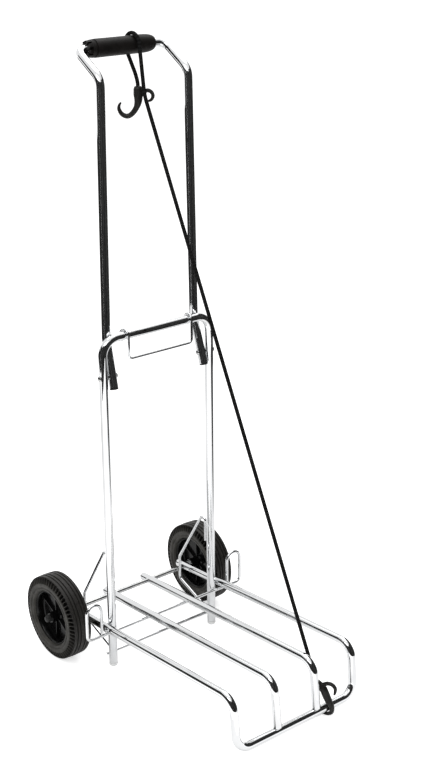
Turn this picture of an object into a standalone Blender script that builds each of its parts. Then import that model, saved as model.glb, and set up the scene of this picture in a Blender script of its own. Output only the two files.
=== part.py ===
"""Folding utility cart: chrome tubes, two wheels, a folding platform and handle, and an elastic cord.

Metres, +Z up. The front faces -Y. The origin is on the floor, under the middle of the cart's box.
"""

import math

import bmesh
import bpy
from mathutils import Matrix, Vector
from mathutils.geometry import interpolate_bezier

# Tubes, rods and wires
TUBE_R = 0.0070
BAR_R = 0.0068
AXLE_R = 0.0040
WIRE_R = 0.0025
BAIL_WIRE_R = 0.0020
CORD_R = 0.0030
TUBE_BORE_R = 0.0055

# Clearances
SEAT = 0.0003
RUNNING = 0.0004
STOP_GAP = 0.0012

# Wheels and axle
WHEEL_R = 0.0712
WHEEL_X = 0.1505
TYRE_HALF = 0.0195
RIM_R = 0.0455
RIM_HALF = 0.0155
RIM_WALL = 0.0040
RIM_RIDGE = 0.0020
RIM_RIDGE_HALF = 0.0040
HUB_R = 0.0085
HUB_IN = 0.0215
HUB_OUT = 0.0175
WEB_HALF = 0.0015
RIB_HALF = 0.0055
RIB_THICK = 0.0020
RIB_COUNT = 6
WASHER_R = 0.0085
CAP_R = 0.0058
CAP_LENGTH = 0.0085
CAP_BORE_DEPTH = 0.0050

# Lower frame
LEG_X = 0.105
CROSSBAR_Z = 0.560
FRAME_BEND = 0.026
AXLE_BACK = 0.088
CAP_HEIGHT = 0.0060
PLUG_LENGTH = 0.0120

# Axle brackets and lower wires
BRACKET_X = 0.102
BRACKET_TOP_Z = 0.196
BRACKET_LEG_RUN = 0.040
BRACKET_REACH_HIGH_Z = 0.098
BRACKET_REACH_LOW_Z = 0.056
BRACKET_FOOT_Z = 0.0275
CROSS_WIRE_Z = 0.0180
CROSS_WIRE_HALF = 0.1100
LOOP_IN_X = 0.1325
LOOP_OUT_X = 0.1610
LOOP_TOP_Z = 0.1270

# Platform
OUTER_BAR_X = 0.1200
INNER_BAR_X = 0.0400
PLATFORM_REACH = 0.4140
PLATFORM_TOP_REACH = 0.4060
PLATFORM_TOP_Z = 0.0960
FRONT_BAR_Z = 0.0125
PLATFORM_BEND = 0.024
BAR_TAIL = 0.0190
TUBE_END_DEPTH = 0.0080
RIVET_BACK = 0.0995
RIVET_R = 0.0022
RIVET_HEAD_R = 0.0042
RIVET_HEAD = 0.0018

# Handle
PIN_Z = 0.500
KINK_Z = 0.556
KINK_X = 0.0865
STUB_END_X = 0.0893
STUB_BELOW_PIN = 0.0190
STUB_CAP = 0.0022
STUB_SPIGOT = 0.0060
HANDLE_BEND_Z = 0.948
HANDLE_TOP_X = 0.0815
GRIP_BACK = 0.0715
GRIP_Z = 0.985
HANDLE_CORNER = 0.0160
PIN_R = 0.0024
PIN_HEAD_R = 0.0043
PIN_HEAD = 0.0020
GRIP_R = 0.0140
GRIP_LEFT_X = -0.0655
GRIP_LENGTH = 0.1250
GRIP_TEETH = 8
TOOTH_GAP = 0.0042
TOOTH_DEPTH = 0.0060

# Bail
BAIL_X = 0.0620
BAIL_DROP = 0.0360
BAIL_BEND = 0.0060
BAIL_WRAP = 250.0
BAIL_EYE_SHIFT = 0.0030

# Elastic cord and hooks
HOOK_X = 0.0585
HOOK_TURN = 25.0
CLIP_POINT = (0.0215, 0.0461, 0.9120)
CORD_SPLIT = 0.78
CORD_END_GAP = 0.0005
CORD_TURN_X = 0.0205
CORD_TURN_DRIFT = 0.0010
CORD_TURN_START = 163.0
CORD_TURN_END = -27.0
UPPER_HOOK_TOP = (0.0200, 0.0600, 0.9240)
UPPER_HOOK_TURN = 40.0

# Sides of the round shapes
TUBE_SIDES = 16
BAR_SIDES = 12
WIRE_SIDES = 8
CORD_SIDES = 8
WHEEL_STEPS = 44
RIM_STEPS = 36
SMALL_STEPS = 14
GRIP_STEPS = 24
BEND_STEPS = 6
EYE_STEPS = 16

# Places worked out from the sizes
AXLE_Y = (PLATFORM_REACH + BAR_R - WHEEL_R) / 2
AXLE_Z = WHEEL_R
LEG_Y = AXLE_Y - AXLE_BACK
FRONT_Y = AXLE_Y - PLATFORM_REACH
TOP_FRONT_Y = AXLE_Y - PLATFORM_TOP_REACH
HANDLE_Y = LEG_Y + 2 * TUBE_R + STOP_GAP
GRIP_Y = LEG_Y + GRIP_BACK
BAR_SLOPE = (PLATFORM_TOP_Z - AXLE_Z) / PLATFORM_TOP_REACH
BEHIND_LEG_Y = LEG_Y + TUBE_R + WIRE_R + SEAT
BEFORE_LEG_Y = LEG_Y - TUBE_R - WIRE_R - SEAT
RACK_Z = AXLE_Z + BAR_SLOPE * (AXLE_Y - BEFORE_LEG_Y) - BAR_R * math.hypot(1.0, BAR_SLOPE) - WIRE_R - SEAT
LEG_END_Z = CAP_HEIGHT + SEAT

ALONG_X = Matrix.Rotation(math.radians(90.0), 4, "Y")


def clear_scene():
    """Remove every object of the open file."""
    for found in list(bpy.data.objects):
        bpy.data.objects.remove(found, do_unlink=True)


def finish(name, colour, metallic, roughness):
    """A Principled material."""
    material = bpy.data.materials.new(name)
    material.use_nodes = True
    shader = material.node_tree.nodes["Principled BSDF"]
    shader.inputs["Base Color"].default_value = (*colour, 1.0)
    shader.inputs["Metallic"].default_value = metallic
    shader.inputs["Roughness"].default_value = roughness
    return material


def axis_empty(name, place):
    """An empty on a joint's axis, which carries the pieces that turn there."""
    empty = bpy.data.objects.new(name, None)
    empty.empty_display_size = 0.03
    empty.location = place
    bpy.context.scene.collection.objects.link(empty)
    return empty


def carried(piece, empty):
    """Parent a piece to its empty, and leave it where it is."""
    piece.parent = empty
    piece.matrix_parent_inverse = Matrix.Translation(empty.location).inverted()
    return piece


def piece_from(name, shape, material):
    """An object from a bmesh in world coordinates, smooth where it is round."""
    bmesh.ops.remove_doubles(shape, verts=shape.verts, dist=1e-6)
    bmesh.ops.recalc_face_normals(shape, faces=shape.faces)
    mesh = bpy.data.meshes.new(name)
    shape.to_mesh(mesh)
    shape.free()
    mesh.materials.append(material)
    mesh.shade_smooth()
    mesh.set_sharp_from_angle(angle=math.radians(40.0))
    piece = bpy.data.objects.new(name, mesh)
    bpy.context.scene.collection.objects.link(piece)
    return piece


def rounded_path(corners):
    """Points along straight runs with an arc at each corner. A corner is (point, bend radius)."""
    places = [Vector(place) for place, _ in corners]
    path = [places[0]]
    for index in range(1, len(places) - 1):
        path += corner_arc(places[index - 1], places[index], places[index + 1], corners[index][1])
    return path + [places[-1]]


def corner_arc(before, corner, after, radius):
    """The points of the arc that rounds one corner."""
    into = (corner - before).normalized()
    away = (after - corner).normalized()
    turn = into.angle(away)
    if turn < 0.01:
        return [corner]
    middle = corner + (away - into).normalized() * radius / math.cos(turn / 2)
    start = corner - into * radius * math.tan(turn / 2) - middle
    axis = into.cross(away).normalized()
    steps = max(2, round(BEND_STEPS * turn / math.radians(90.0)))
    return [middle + Matrix.Rotation(turn * k / steps, 3, axis) @ start for k in range(steps + 1)]


def swept_shape(path, radius, sides, taper=None):
    """A bmesh of a round rod along a path. A taper gives each point its share of the radius."""
    curve = bpy.data.curves.new("sweep", "CURVE")
    curve.dimensions = "3D"
    curve.bevel_depth = radius
    curve.bevel_resolution = sides // 2 - 2
    curve.use_fill_caps = True
    spline = curve.splines.new("POLY")
    spline.points.add(len(path) - 1)
    for index, place in enumerate(path):
        spline.points[index].co = (*place, 1.0)
        spline.points[index].radius = taper[index] if taper else 1.0
    guide = bpy.data.objects.new("sweep", curve)
    bpy.context.scene.collection.objects.link(guide)
    graph = bpy.context.evaluated_depsgraph_get()
    mesh = bpy.data.meshes.new_from_object(guide.evaluated_get(graph))
    shape = bmesh.new()
    shape.from_mesh(mesh)
    bpy.data.objects.remove(guide, do_unlink=True)
    bpy.data.meshes.remove(mesh)
    bmesh.ops.remove_doubles(shape, verts=shape.verts, dist=1e-6)
    return shape


def rod(name, path, radius, sides, material):
    """One piece swept along a path."""
    return piece_from(name, swept_shape(path, radius, sides), material)


def turned_shape(profile, placed, steps, closed):
    """A bmesh turned about the local Z axis. The profile is (along, radius) pairs."""
    shape = bmesh.new()
    points = [shape.verts.new((radius, 0.0, along)) for along, radius in profile]
    edges = [shape.edges.new(pair) for pair in zip(points, points[1:])]
    if closed:
        edges.append(shape.edges.new((points[-1], points[0])))
    bmesh.ops.spin(
        shape,
        geom=points + edges,
        cent=(0, 0, 0),
        axis=(0, 0, 1),
        angle=math.tau,
        steps=steps,
        use_merge=True,
    )
    bmesh.ops.remove_doubles(shape, verts=shape.verts, dist=1e-6)
    bmesh.ops.transform(shape, matrix=placed, verts=shape.verts)
    return shape


def turned(name, profile, placed, steps, material, closed=False):
    """One turned piece."""
    return piece_from(name, turned_shape(profile, placed, steps, closed), material)


def across(side, x, y, z):
    """A placing at (x, y, z) whose local Z points outwards along X on the given side."""
    return Matrix.Translation((side * x, y, z)) @ Matrix.Rotation(math.radians(90.0 * side), 4, "Y")


def cutter_from(name, shape):
    """A hidden shape that a Boolean uses."""
    bmesh.ops.recalc_face_normals(shape, faces=shape.faces)
    mesh = bpy.data.meshes.new(name)
    shape.to_mesh(mesh)
    shape.free()
    cutter = bpy.data.objects.new(name, mesh)
    cutter.hide_render = True
    cutter.display_type = "WIRE"
    bpy.context.scene.collection.objects.link(cutter)
    return cutter


def boolean(piece, cutter, operation):
    """Add an exact Boolean to a piece."""
    modifier = piece.modifiers.new(cutter.name, "BOOLEAN")
    modifier.operation = operation
    modifier.solver = "EXACT"
    modifier.object = cutter


def drill(piece, placed, radius, length):
    """Cut a round hole, centred where it is placed, along the local Z axis."""
    shape = bmesh.new()
    bmesh.ops.create_cone(
        shape,
        cap_ends=True,
        segments=SMALL_STEPS,
        radius1=radius,
        radius2=radius,
        depth=length,
        matrix=placed,
    )
    boolean(piece, cutter_from(piece.name + "_hole", shape), "DIFFERENCE")


def facing(place, direction):
    """A placing at a point whose local Z runs along a direction."""
    return Matrix.Translation(place) @ Vector(direction).to_track_quat("Z", "Y").to_matrix().to_4x4()


def bar_height(y):
    """The height of the platform bars' centre line at a depth."""
    return AXLE_Z + BAR_SLOPE * (AXLE_Y - y)


def stub_direction():
    """The direction of the handle's right lower end, from the kink to the tip."""
    return (Vector((pin_x(), LEG_Y, PIN_Z)) - Vector((KINK_X, HANDLE_Y, KINK_Z))).normalized()


def pin_x():
    """How far out the handle tube's centre is at the pins."""
    below = PIN_Z - STUB_BELOW_PIN
    return KINK_X + (STUB_END_X - KINK_X) * (KINK_Z - PIN_Z) / (KINK_Z - below)


def stub_tip():
    """The centre of the handle tube's right lower end."""
    return Vector((pin_x(), LEG_Y, PIN_Z)) + stub_direction() * STUB_BELOW_PIN


def mirrored(place, side):
    """A point of the right side, or its mirror image on the left."""
    return Vector((side * place[0], place[1], place[2]))


SIDES = {"left": -1, "right": 1}


def lower_frame(chrome):
    """The U tube with its two legs and the crossbar."""
    corners = [
        ((-LEG_X, LEG_Y, LEG_END_Z), 0),
        ((-LEG_X, LEG_Y, CROSSBAR_Z), FRAME_BEND),
        ((LEG_X, LEG_Y, CROSSBAR_Z), FRAME_BEND),
        ((LEG_X, LEG_Y, LEG_END_Z), 0),
    ]
    frame = rod("lower_frame", rounded_path(corners), TUBE_R, TUBE_SIDES, chrome)
    for side in SIDES.values():
        end = (side * LEG_X, LEG_Y, LEG_END_Z)
        drill(frame, Matrix.Translation(end), TUBE_BORE_R, 2 * (PLUG_LENGTH + SEAT))
        drill(frame, across(side, LEG_X, LEG_Y, PIN_Z), PIN_R + SEAT, 4 * TUBE_R)
    return frame


def end_plug(name, placed, plastic):
    """A plug whose round head closes a tube and whose spigot sits in its bore."""
    spigot = TUBE_BORE_R - SEAT
    profile = [
        (0.0, 0.0),
        (0.0, 0.78 * TUBE_R),
        (0.22 * CAP_HEIGHT, 0.94 * TUBE_R),
        (0.55 * CAP_HEIGHT, TUBE_R),
        (CAP_HEIGHT, TUBE_R),
        (CAP_HEIGHT, spigot),
        (CAP_HEIGHT + 0.92 * PLUG_LENGTH, spigot),
        (CAP_HEIGHT + PLUG_LENGTH, 0.85 * spigot),
        (CAP_HEIGHT + PLUG_LENGTH, 0.0),
    ]
    return turned(name, profile, placed, SMALL_STEPS, plastic)


def foot_caps(plastic):
    """The plugs that the legs stand on."""
    return [
        end_plug(f"foot_cap_{word}", Matrix.Translation((side * LEG_X, LEG_Y, 0.0)), plastic)
        for word, side in SIDES.items()
    ]


def axle(steel):
    """The rod from cap to cap."""
    half = WHEEL_X + HUB_OUT + CAP_BORE_DEPTH
    profile = [(-half, 0.0), (-half, AXLE_R), (half, AXLE_R), (half, 0.0)]
    placed = Matrix.Translation((0.0, AXLE_Y, AXLE_Z)) @ ALONG_X
    return turned("axle", profile, placed, SMALL_STEPS, steel)


def axle_washers(steel):
    """The washers between the platform's outer tubes and the hubs."""
    inner = OUTER_BAR_X + BAR_R + SEAT
    outer = WHEEL_X - HUB_IN - SEAT
    bore = AXLE_R + SEAT
    profile = [(0.0, bore), (0.0, WASHER_R), (outer - inner, WASHER_R), (outer - inner, bore)]
    return [
        turned(f"axle_washer_{word}", profile, across(side, inner, AXLE_Y, AXLE_Z), SMALL_STEPS, steel, True)
        for word, side in SIDES.items()
    ]


def axle_caps(plastic):
    """The domed caps pressed on the axle's ends."""
    bore = AXLE_R + SEAT
    profile = [
        (CAP_BORE_DEPTH, 0.0),
        (CAP_BORE_DEPTH, bore),
        (0.0, bore),
        (0.0, CAP_R),
        (0.35 * CAP_LENGTH, CAP_R),
        (0.75 * CAP_LENGTH, 0.75 * CAP_R),
        (CAP_LENGTH, 0.35 * CAP_R),
        (CAP_LENGTH, 0.0),
    ]
    start = WHEEL_X + HUB_OUT + SEAT
    return [
        turned(f"axle_cap_{word}", profile, across(side, start, AXLE_Y, AXLE_Z), SMALL_STEPS, plastic)
        for word, side in SIDES.items()
    ]


def axle_bracket(word, side, chrome):
    """The bent wire behind one leg that carries the axle."""
    x = side * BRACKET_X
    front = BEHIND_LEG_Y
    reach = AXLE_Y - AXLE_R - WIRE_R - SEAT
    turn = 2 * WIRE_R
    corners = [
        ((x, front, BRACKET_TOP_Z - BRACKET_LEG_RUN), 0),
        ((x, front, BRACKET_TOP_Z), 0.9 * turn),
        ((x, front + 2.2 * turn, BRACKET_TOP_Z), 0.9 * turn),
        ((x, reach, BRACKET_REACH_HIGH_Z), 2 * turn),
        ((x, reach, BRACKET_REACH_LOW_Z), 2 * turn),
        ((x, front, BRACKET_FOOT_Z), turn),
        ((x, front, CROSS_WIRE_Z + WIRE_R + SEAT), 0),
    ]
    return rod(f"axle_bracket_{word}", rounded_path(corners), WIRE_R, WIRE_SIDES, chrome)


def lower_cross_wire(chrome):
    """The straight wire behind both legs."""
    half = CROSS_WIRE_HALF
    path = [Vector((x, BEHIND_LEG_Y, CROSS_WIRE_Z)) for x in (-half, half)]
    return rod("lower_cross_wire", path, WIRE_R, WIRE_SIDES, chrome)


def rack_wire(chrome):
    """The wire across the front of the legs, with an upright loop at each side."""
    y = BEFORE_LEG_Y
    bend = (LOOP_OUT_X - LOOP_IN_X) / 2 - SEAT
    end_z = RACK_Z + 2 * WIRE_R + SEAT
    right = [
        ((LOOP_OUT_X, y, RACK_Z), 0.6 * bend),
        ((LOOP_OUT_X, y, LOOP_TOP_Z), bend),
        ((LOOP_IN_X, y, LOOP_TOP_Z), bend),
        ((LOOP_IN_X, y, end_z), 0),
    ]
    left = [((-place[0], place[1], place[2]), radius) for place, radius in reversed(right)]
    return rod("rack_wire", rounded_path(left + right), WIRE_R, WIRE_SIDES, chrome)


def handle_pivots(steel):
    """The rivets through the legs and the handle's lower ends."""
    inner = pin_x() - TUBE_R - SEAT
    length = LEG_X + TUBE_R + SEAT - inner
    profile = [
        (-PIN_HEAD, 0.0),
        (-PIN_HEAD, 0.6 * PIN_HEAD_R),
        (-0.4 * PIN_HEAD, PIN_HEAD_R),
        (0.0, PIN_HEAD_R),
        (0.0, PIN_R),
        (length, PIN_R),
        (length, PIN_HEAD_R),
        (length + 0.4 * PIN_HEAD, PIN_HEAD_R),
        (length + PIN_HEAD, 0.6 * PIN_HEAD_R),
        (length + PIN_HEAD, 0.0),
    ]
    return [
        turned(f"handle_pivot_{word}", profile, across(side, inner, LEG_Y, PIN_Z), SMALL_STEPS, steel)
        for word, side in SIDES.items()
    ]


def pivot_washers(steel):
    """The washers between the legs and the handle's lower ends."""
    inner = pin_x() + TUBE_R + SEAT
    thick = LEG_X - TUBE_R - SEAT - inner
    bore = PIN_R + SEAT
    profile = [(0.0, bore), (0.0, PIN_HEAD_R), (thick, PIN_HEAD_R), (thick, bore)]
    return [
        turned(f"pivot_washer_{word}", profile, across(side, inner, LEG_Y, PIN_Z), SMALL_STEPS, steel, True)
        for word, side in SIDES.items()
    ]


def tyre(word, side, rubber):
    """A solid rubber tyre with a grooved tread, seated on the rim's ridge."""
    seat = RIM_R + SEAT
    ridge = seat + RIM_RIDGE
    half = [
        (TYRE_HALF, 0.80 * WHEEL_R),
        (0.97 * TYRE_HALF, 0.87 * WHEEL_R),
        (0.84 * TYRE_HALF, 0.966 * WHEEL_R),
        (0.78 * TYRE_HALF, 0.990 * WHEEL_R),
        (0.57 * TYRE_HALF, 0.994 * WHEEL_R),
        (0.55 * TYRE_HALF, 0.969 * WHEEL_R),
        (0.45 * TYRE_HALF, 0.969 * WHEEL_R),
        (0.43 * TYRE_HALF, 0.997 * WHEEL_R),
        (0.10 * TYRE_HALF, WHEEL_R),
    ]
    bead = [
        (-RIM_RIDGE_HALF - SEAT, seat),
        (-RIM_RIDGE_HALF, ridge),
        (RIM_RIDGE_HALF, ridge),
        (RIM_RIDGE_HALF + SEAT, seat),
        (0.80 * TYRE_HALF, seat),
        (0.92 * TYRE_HALF, 1.08 * RIM_R),
    ]
    other = [(-along, radius) for along, radius in reversed(half)]
    start = [(-along, radius) for along, radius in reversed(bead[4:])]
    profile = start + bead + half + other
    placed = across(side, WHEEL_X, AXLE_Y, AXLE_Z)
    return turned(f"tyre_{word}", profile, placed, WHEEL_STEPS, rubber, True)


def rim_ribs():
    """The six ribs between hub and rim, as one hidden shape about the local Z axis."""
    shape = bmesh.new()
    inner = HUB_R - 0.4 * RIM_WALL
    outer = RIM_R - 0.6 * RIM_WALL
    size = (outer - inner, RIB_THICK, 2 * RIB_HALF)
    for index in range(RIB_COUNT):
        turn = Matrix.Rotation(math.tau * index / RIB_COUNT, 4, "Z")
        placed = turn @ Matrix.Translation(((inner + outer) / 2, 0.0, 0.0)) @ Matrix.Diagonal((*size, 1.0))
        bmesh.ops.create_cube(shape, size=1.0, matrix=placed)
    return shape


def wheel(word, side, plastic):
    """The plastic rim, web, ribs and hub, in one moulding."""
    inside = RIM_R - RIM_WALL
    bore = AXLE_R + RUNNING
    profile = [
        (-HUB_IN, bore),
        (-HUB_IN, HUB_R),
        (-WEB_HALF, HUB_R),
        (-WEB_HALF, inside),
        (-RIM_HALF, inside),
        (-RIM_HALF, RIM_R),
        (-RIM_RIDGE_HALF, RIM_R),
        (-RIM_RIDGE_HALF + SEAT, RIM_R + RIM_RIDGE),
        (RIM_RIDGE_HALF - SEAT, RIM_R + RIM_RIDGE),
        (RIM_RIDGE_HALF, RIM_R),
        (RIM_HALF, RIM_R),
        (RIM_HALF, inside),
        (WEB_HALF, inside),
        (WEB_HALF, HUB_R),
        (HUB_OUT, HUB_R),
        (HUB_OUT, bore),
    ]
    placed = across(side, WHEEL_X, AXLE_Y, AXLE_Z)
    body = turned(f"wheel_{word}", profile, placed, RIM_STEPS, plastic, True)
    ribs = rim_ribs()
    bmesh.ops.transform(ribs, matrix=placed, verts=ribs.verts)
    boolean(body, cutter_from(f"wheel_{word}_ribs", ribs), "UNION")
    return body


def platform_side(x):
    """The corners of one platform tube, from its tail to the top of its drop."""
    tail_y = AXLE_Y + BAR_TAIL
    return [((x, tail_y, bar_height(tail_y)), 0), ((x, TOP_FRONT_Y, PLATFORM_TOP_Z), PLATFORM_BEND)]


def platform_frame(chrome):
    """The outer tube: two sides, two drops and the front bar."""
    left = platform_side(-OUTER_BAR_X)
    right = list(reversed(platform_side(OUTER_BAR_X)))
    low = [((x, FRONT_Y, FRONT_BAR_Z), PLATFORM_BEND) for x in (-OUTER_BAR_X, OUTER_BAR_X)]
    frame = rod("platform_frame", rounded_path(left + low + right), BAR_R, BAR_SIDES, chrome)
    for side in SIDES.values():
        drill_bar(frame, side * OUTER_BAR_X)
        rivet_y = AXLE_Y - RIVET_BACK
        hole = across(side, OUTER_BAR_X, rivet_y, bar_height(rivet_y))
        drill(frame, hole, RIVET_R + SEAT, 4 * BAR_R)
    return frame


def drill_bar(bar, x):
    """Drill one platform tube for the axle, and open its tail."""
    tail_y = AXLE_Y + BAR_TAIL
    drill(bar, Matrix.Translation((x, AXLE_Y, AXLE_Z)) @ ALONG_X, AXLE_R + SEAT, 4 * BAR_R)
    tail = facing((x, tail_y, bar_height(tail_y)), (0.0, 1.0, -BAR_SLOPE))
    drill(bar, tail, 0.75 * BAR_R, 2 * TUBE_END_DEPTH)


def platform_bar(word, side, chrome):
    """One inner tube, whose drop ends on the front bar."""
    x = side * INNER_BAR_X
    foot = ((x, FRONT_Y, FRONT_BAR_Z + 1.02 * BAR_R + SEAT), 0)
    path = rounded_path(platform_side(x) + [foot])
    bar = rod(f"platform_bar_{word}", path, BAR_R, BAR_SIDES, chrome)
    drill_bar(bar, x)
    return bar


def platform_rivets(steel):
    """The small round heads on the outer tubes, by the legs."""
    y = AXLE_Y - RIVET_BACK
    start = -0.9 * BAR_R
    head = BAR_R + SEAT
    profile = [
        (start, 0.0),
        (start, RIVET_R),
        (head, RIVET_R),
        (head, RIVET_HEAD_R),
        (head + 0.4 * RIVET_HEAD, RIVET_HEAD_R),
        (head + RIVET_HEAD, 0.55 * RIVET_HEAD_R),
        (head + RIVET_HEAD, 0.0),
    ]
    return [
        turned(
            f"platform_rivet_{word}",
            profile,
            across(side, OUTER_BAR_X, y, bar_height(y)),
            SMALL_STEPS,
            steel,
        )
        for word, side in SIDES.items()
    ]


def handle_tube(chrome):
    """The handle: two sides with kinked lower ends, and the cranked top."""
    right = [
        (stub_tip(), 0),
        ((KINK_X, HANDLE_Y, KINK_Z), 0.020),
        ((HANDLE_TOP_X, HANDLE_Y, HANDLE_BEND_Z), 0.028),
        ((HANDLE_TOP_X, GRIP_Y, GRIP_Z), HANDLE_CORNER),
    ]
    left = [(mirrored(place, -1), radius) for place, radius in reversed(right)]
    handle = rod("handle_tube", rounded_path(right + left), TUBE_R, TUBE_SIDES, chrome)
    for side in SIDES.values():
        drill(handle, across(side, pin_x(), LEG_Y, PIN_Z), PIN_R + SEAT, 3 * TUBE_R)
        along = mirrored(stub_direction(), side)
        end = facing(mirrored(stub_tip(), side), along)
        drill(handle, end, TUBE_BORE_R, STUB_BELOW_PIN - PIN_R - 3 * SEAT)
    return handle


def stub_plugs(plastic):
    """The plugs in the handle's lower ends."""
    plugs = []
    for word, side in SIDES.items():
        along = mirrored(stub_direction(), side)
        low = mirrored(stub_tip(), side) + along * (SEAT + STUB_CAP)
        plugs.append(turned(f"stub_plug_{word}", stub_plug_profile(), facing(low, -along), SMALL_STEPS, plastic))
    return plugs


def stub_plug_profile():
    """The outline of a thin plug, from its outer face to the end of its spigot."""
    spigot = TUBE_BORE_R - SEAT
    return [
        (0.0, 0.0),
        (0.0, 0.85 * TUBE_R),
        (0.4 * STUB_CAP, TUBE_R),
        (STUB_CAP, TUBE_R),
        (STUB_CAP, spigot),
        (STUB_CAP + STUB_SPIGOT, spigot),
        (STUB_CAP + STUB_SPIGOT, 0.0),
    ]


def grip(rubber):
    """The round grip, open at both ends, with a toothed left end."""
    bore = TUBE_R + SEAT
    length = GRIP_LENGTH
    profile = [
        (0.0, bore),
        (0.0, 0.86 * GRIP_R),
        (0.03 * length, 0.96 * GRIP_R),
        (0.08 * length, GRIP_R),
        (0.84 * length, GRIP_R),
        (0.92 * length, 0.94 * GRIP_R),
        (0.97 * length, 0.80 * GRIP_R),
        (length, 0.62 * GRIP_R),
        (length, bore),
    ]
    placed = Matrix.Translation((GRIP_LEFT_X, GRIP_Y, GRIP_Z)) @ ALONG_X
    body = turned("grip", profile, placed, GRIP_STEPS, rubber, True)
    boolean(body, cutter_from("grip_teeth", tooth_gaps(placed)), "DIFFERENCE")
    return body


def tooth_gaps(placed):
    """The gaps between the teeth of the grip's left end, as one hidden shape."""
    shape = bmesh.new()
    size = (GRIP_R - TUBE_R + 2 * SEAT, TOOTH_GAP, 2 * TOOTH_DEPTH)
    middle = (GRIP_R + TUBE_R) / 2 + SEAT
    for index in range(GRIP_TEETH):
        turn = Matrix.Rotation(math.tau * index / GRIP_TEETH, 4, "Z")
        box = turn @ Matrix.Translation((middle, 0.0, 0.0)) @ Matrix.Diagonal((*size, 1.0))
        bmesh.ops.create_cube(shape, size=1.0, matrix=placed @ box)
    return shape


def bail(chrome):
    """The wire bail: an eye round the crossbar at each end, two arms and a bottom run."""
    ring = TUBE_R + BAIL_WIRE_R + RUNNING
    right = []
    steps = EYE_STEPS
    for index in range(steps + 1):
        angle = math.radians(BAIL_WRAP * (1 - index / steps))
        x = BAIL_X + BAIL_EYE_SHIFT * (1 - index / steps)
        y = LEG_Y - ring * math.cos(angle)
        right.append(Vector((x, y, CROSSBAR_Z + ring * math.sin(angle))))
    low = CROSSBAR_Z - BAIL_DROP
    front = LEG_Y - ring
    corner = [Vector((BAIL_X, front, CROSSBAR_Z)), Vector((BAIL_X, front, low)), Vector((0.0, front, low))]
    right += corner_arc(*corner, BAIL_BEND)
    left = [mirrored(place, -1) for place in reversed(right)]
    return rod("bail", right + left, BAIL_WIRE_R, WIRE_SIDES, chrome)


def hook_frame(place, degrees, towards_back):
    """The two directions of a hook's plane: level, and upright."""
    angle = math.radians(degrees)
    if towards_back:
        level = Vector((-math.sin(angle), math.cos(angle), 0.0))
    else:
        level = Vector((math.cos(angle), -math.sin(angle), 0.0))
    return Vector(place), level, Vector((0.0, 0.0, 1.0))


def smooth_run(points, steps):
    """A smooth curve through the points, as (x, y, z, radius) values."""
    places = [Vector(point[:2]).to_3d() for point in points]
    run = []
    for index in range(len(places) - 1):
        before = places[max(index - 1, 0)]
        after = places[min(index + 2, len(places) - 1)]
        start, end = places[index], places[index + 1]
        knots = (start, start + (end - before) / 6, end - (after - start) / 6, end)
        curve = interpolate_bezier(*knots, steps + 1)
        for step in range(steps + (index == len(places) - 2)):
            share = step / steps
            radius = points[index][2] * (1 - share) + points[index + 1][2] * share
            run.append((curve[step].x, curve[step].y, radius))
    return run


def hook_limb(plane, points, steps=3):
    """A tapering round limb of a hook, given in millimetres in the hook's plane."""
    origin, level, upright = plane
    run = smooth_run(points, steps)
    path = [origin + (level * u + upright * v) * 0.001 for u, v, _ in run]
    return swept_shape(path, 0.001, CORD_SIDES, [radius for _, _, radius in run])


def hook(name, plane, body, clip, plastic):
    """A moulded hook: the body with its large hook, and the small clip hook fused to it."""
    piece = piece_from(name, hook_limb(plane, body), plastic)
    boolean(piece, cutter_from(name + "_clip", hook_limb(plane, clip)), "UNION")
    return piece


# Hook outlines: (level, height, radius) in millimetres from the hook's own point
LOWER_BODY = [
    (16.0, 45.5, 4.2),
    (14.4, 41.5, 5.4),
    (9.5, 37.5, 6.0),
    (3.0, 32.0, 6.2),
    (-2.0, 21.5, 6.2),
    (-6.6, 12.0, 5.6),
    (-11.2, 4.0, 4.2),
    (-11.0, -4.5, 3.6),
    (-6.0, -9.0, 2.9),
    (1.0, -9.6, 2.4),
    (7.8, -7.4, 2.2),
    (11.6, -1.5, 1.6),
]
LOWER_CLIP = [
    (5.0, 38.0, 3.4),
    (-3.3, 43.0, 3.2),
    (-11.0, 42.8, 3.1),
    (-16.0, 38.0, 2.9),
    (-16.2, 31.5, 2.4),
    (-14.8, 26.0, 1.5),
]
UPPER_BODY = [
    (0.0, 0.0, 5.0),
    (0.0, -4.0, 7.0),
    (0.0, -12.0, 7.3),
    (0.0, -22.0, 6.2),
    (-3.0, -32.0, 4.6),
    (-9.5, -41.0, 4.2),
    (-17.0, -45.0, 4.0),
    (-25.0, -42.0, 3.6),
    (-29.5, -34.5, 3.0),
    (-29.0, -28.0, 2.2),
    (-26.0, -24.0, 1.3),
]
UPPER_CLIP = [
    (3.0, -16.0, 3.2),
    (8.0, -10.0, 3.2),
    (14.5, -6.5, 3.2),
    (20.5, -9.5, 3.0),
    (22.5, -15.5, 2.8),
    (19.5, -21.0, 2.4),
    (14.5, -22.5, 1.6),
]


def lower_hook_plane():
    """Where the lower hook goes round the front bar."""
    return hook_frame((HOOK_X, FRONT_Y, FRONT_BAR_Z), HOOK_TURN, True)


def upper_hook_plane():
    """Where the upper hook hangs under the grip."""
    x, y, z = UPPER_HOOK_TOP
    return hook_frame((x, LEG_Y + y, z), UPPER_HOOK_TURN, False)


def cord_corners():
    """The cord's main points: lower hook, clip, round the grip, and upper hook."""
    origin, level, upright = lower_hook_plane()
    clip = Vector((CLIP_POINT[0], LEG_Y + CLIP_POINT[1], CLIP_POINT[2]))
    start = origin + (level * LOWER_BODY[0][0] + upright * LOWER_BODY[0][1]) * 0.001
    start += (clip - start).normalized() * CORD_END_GAP
    end, _, _ = upper_hook_plane()
    return start, clip, end + Vector((0.0, 0.0, CORD_END_GAP))


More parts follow.
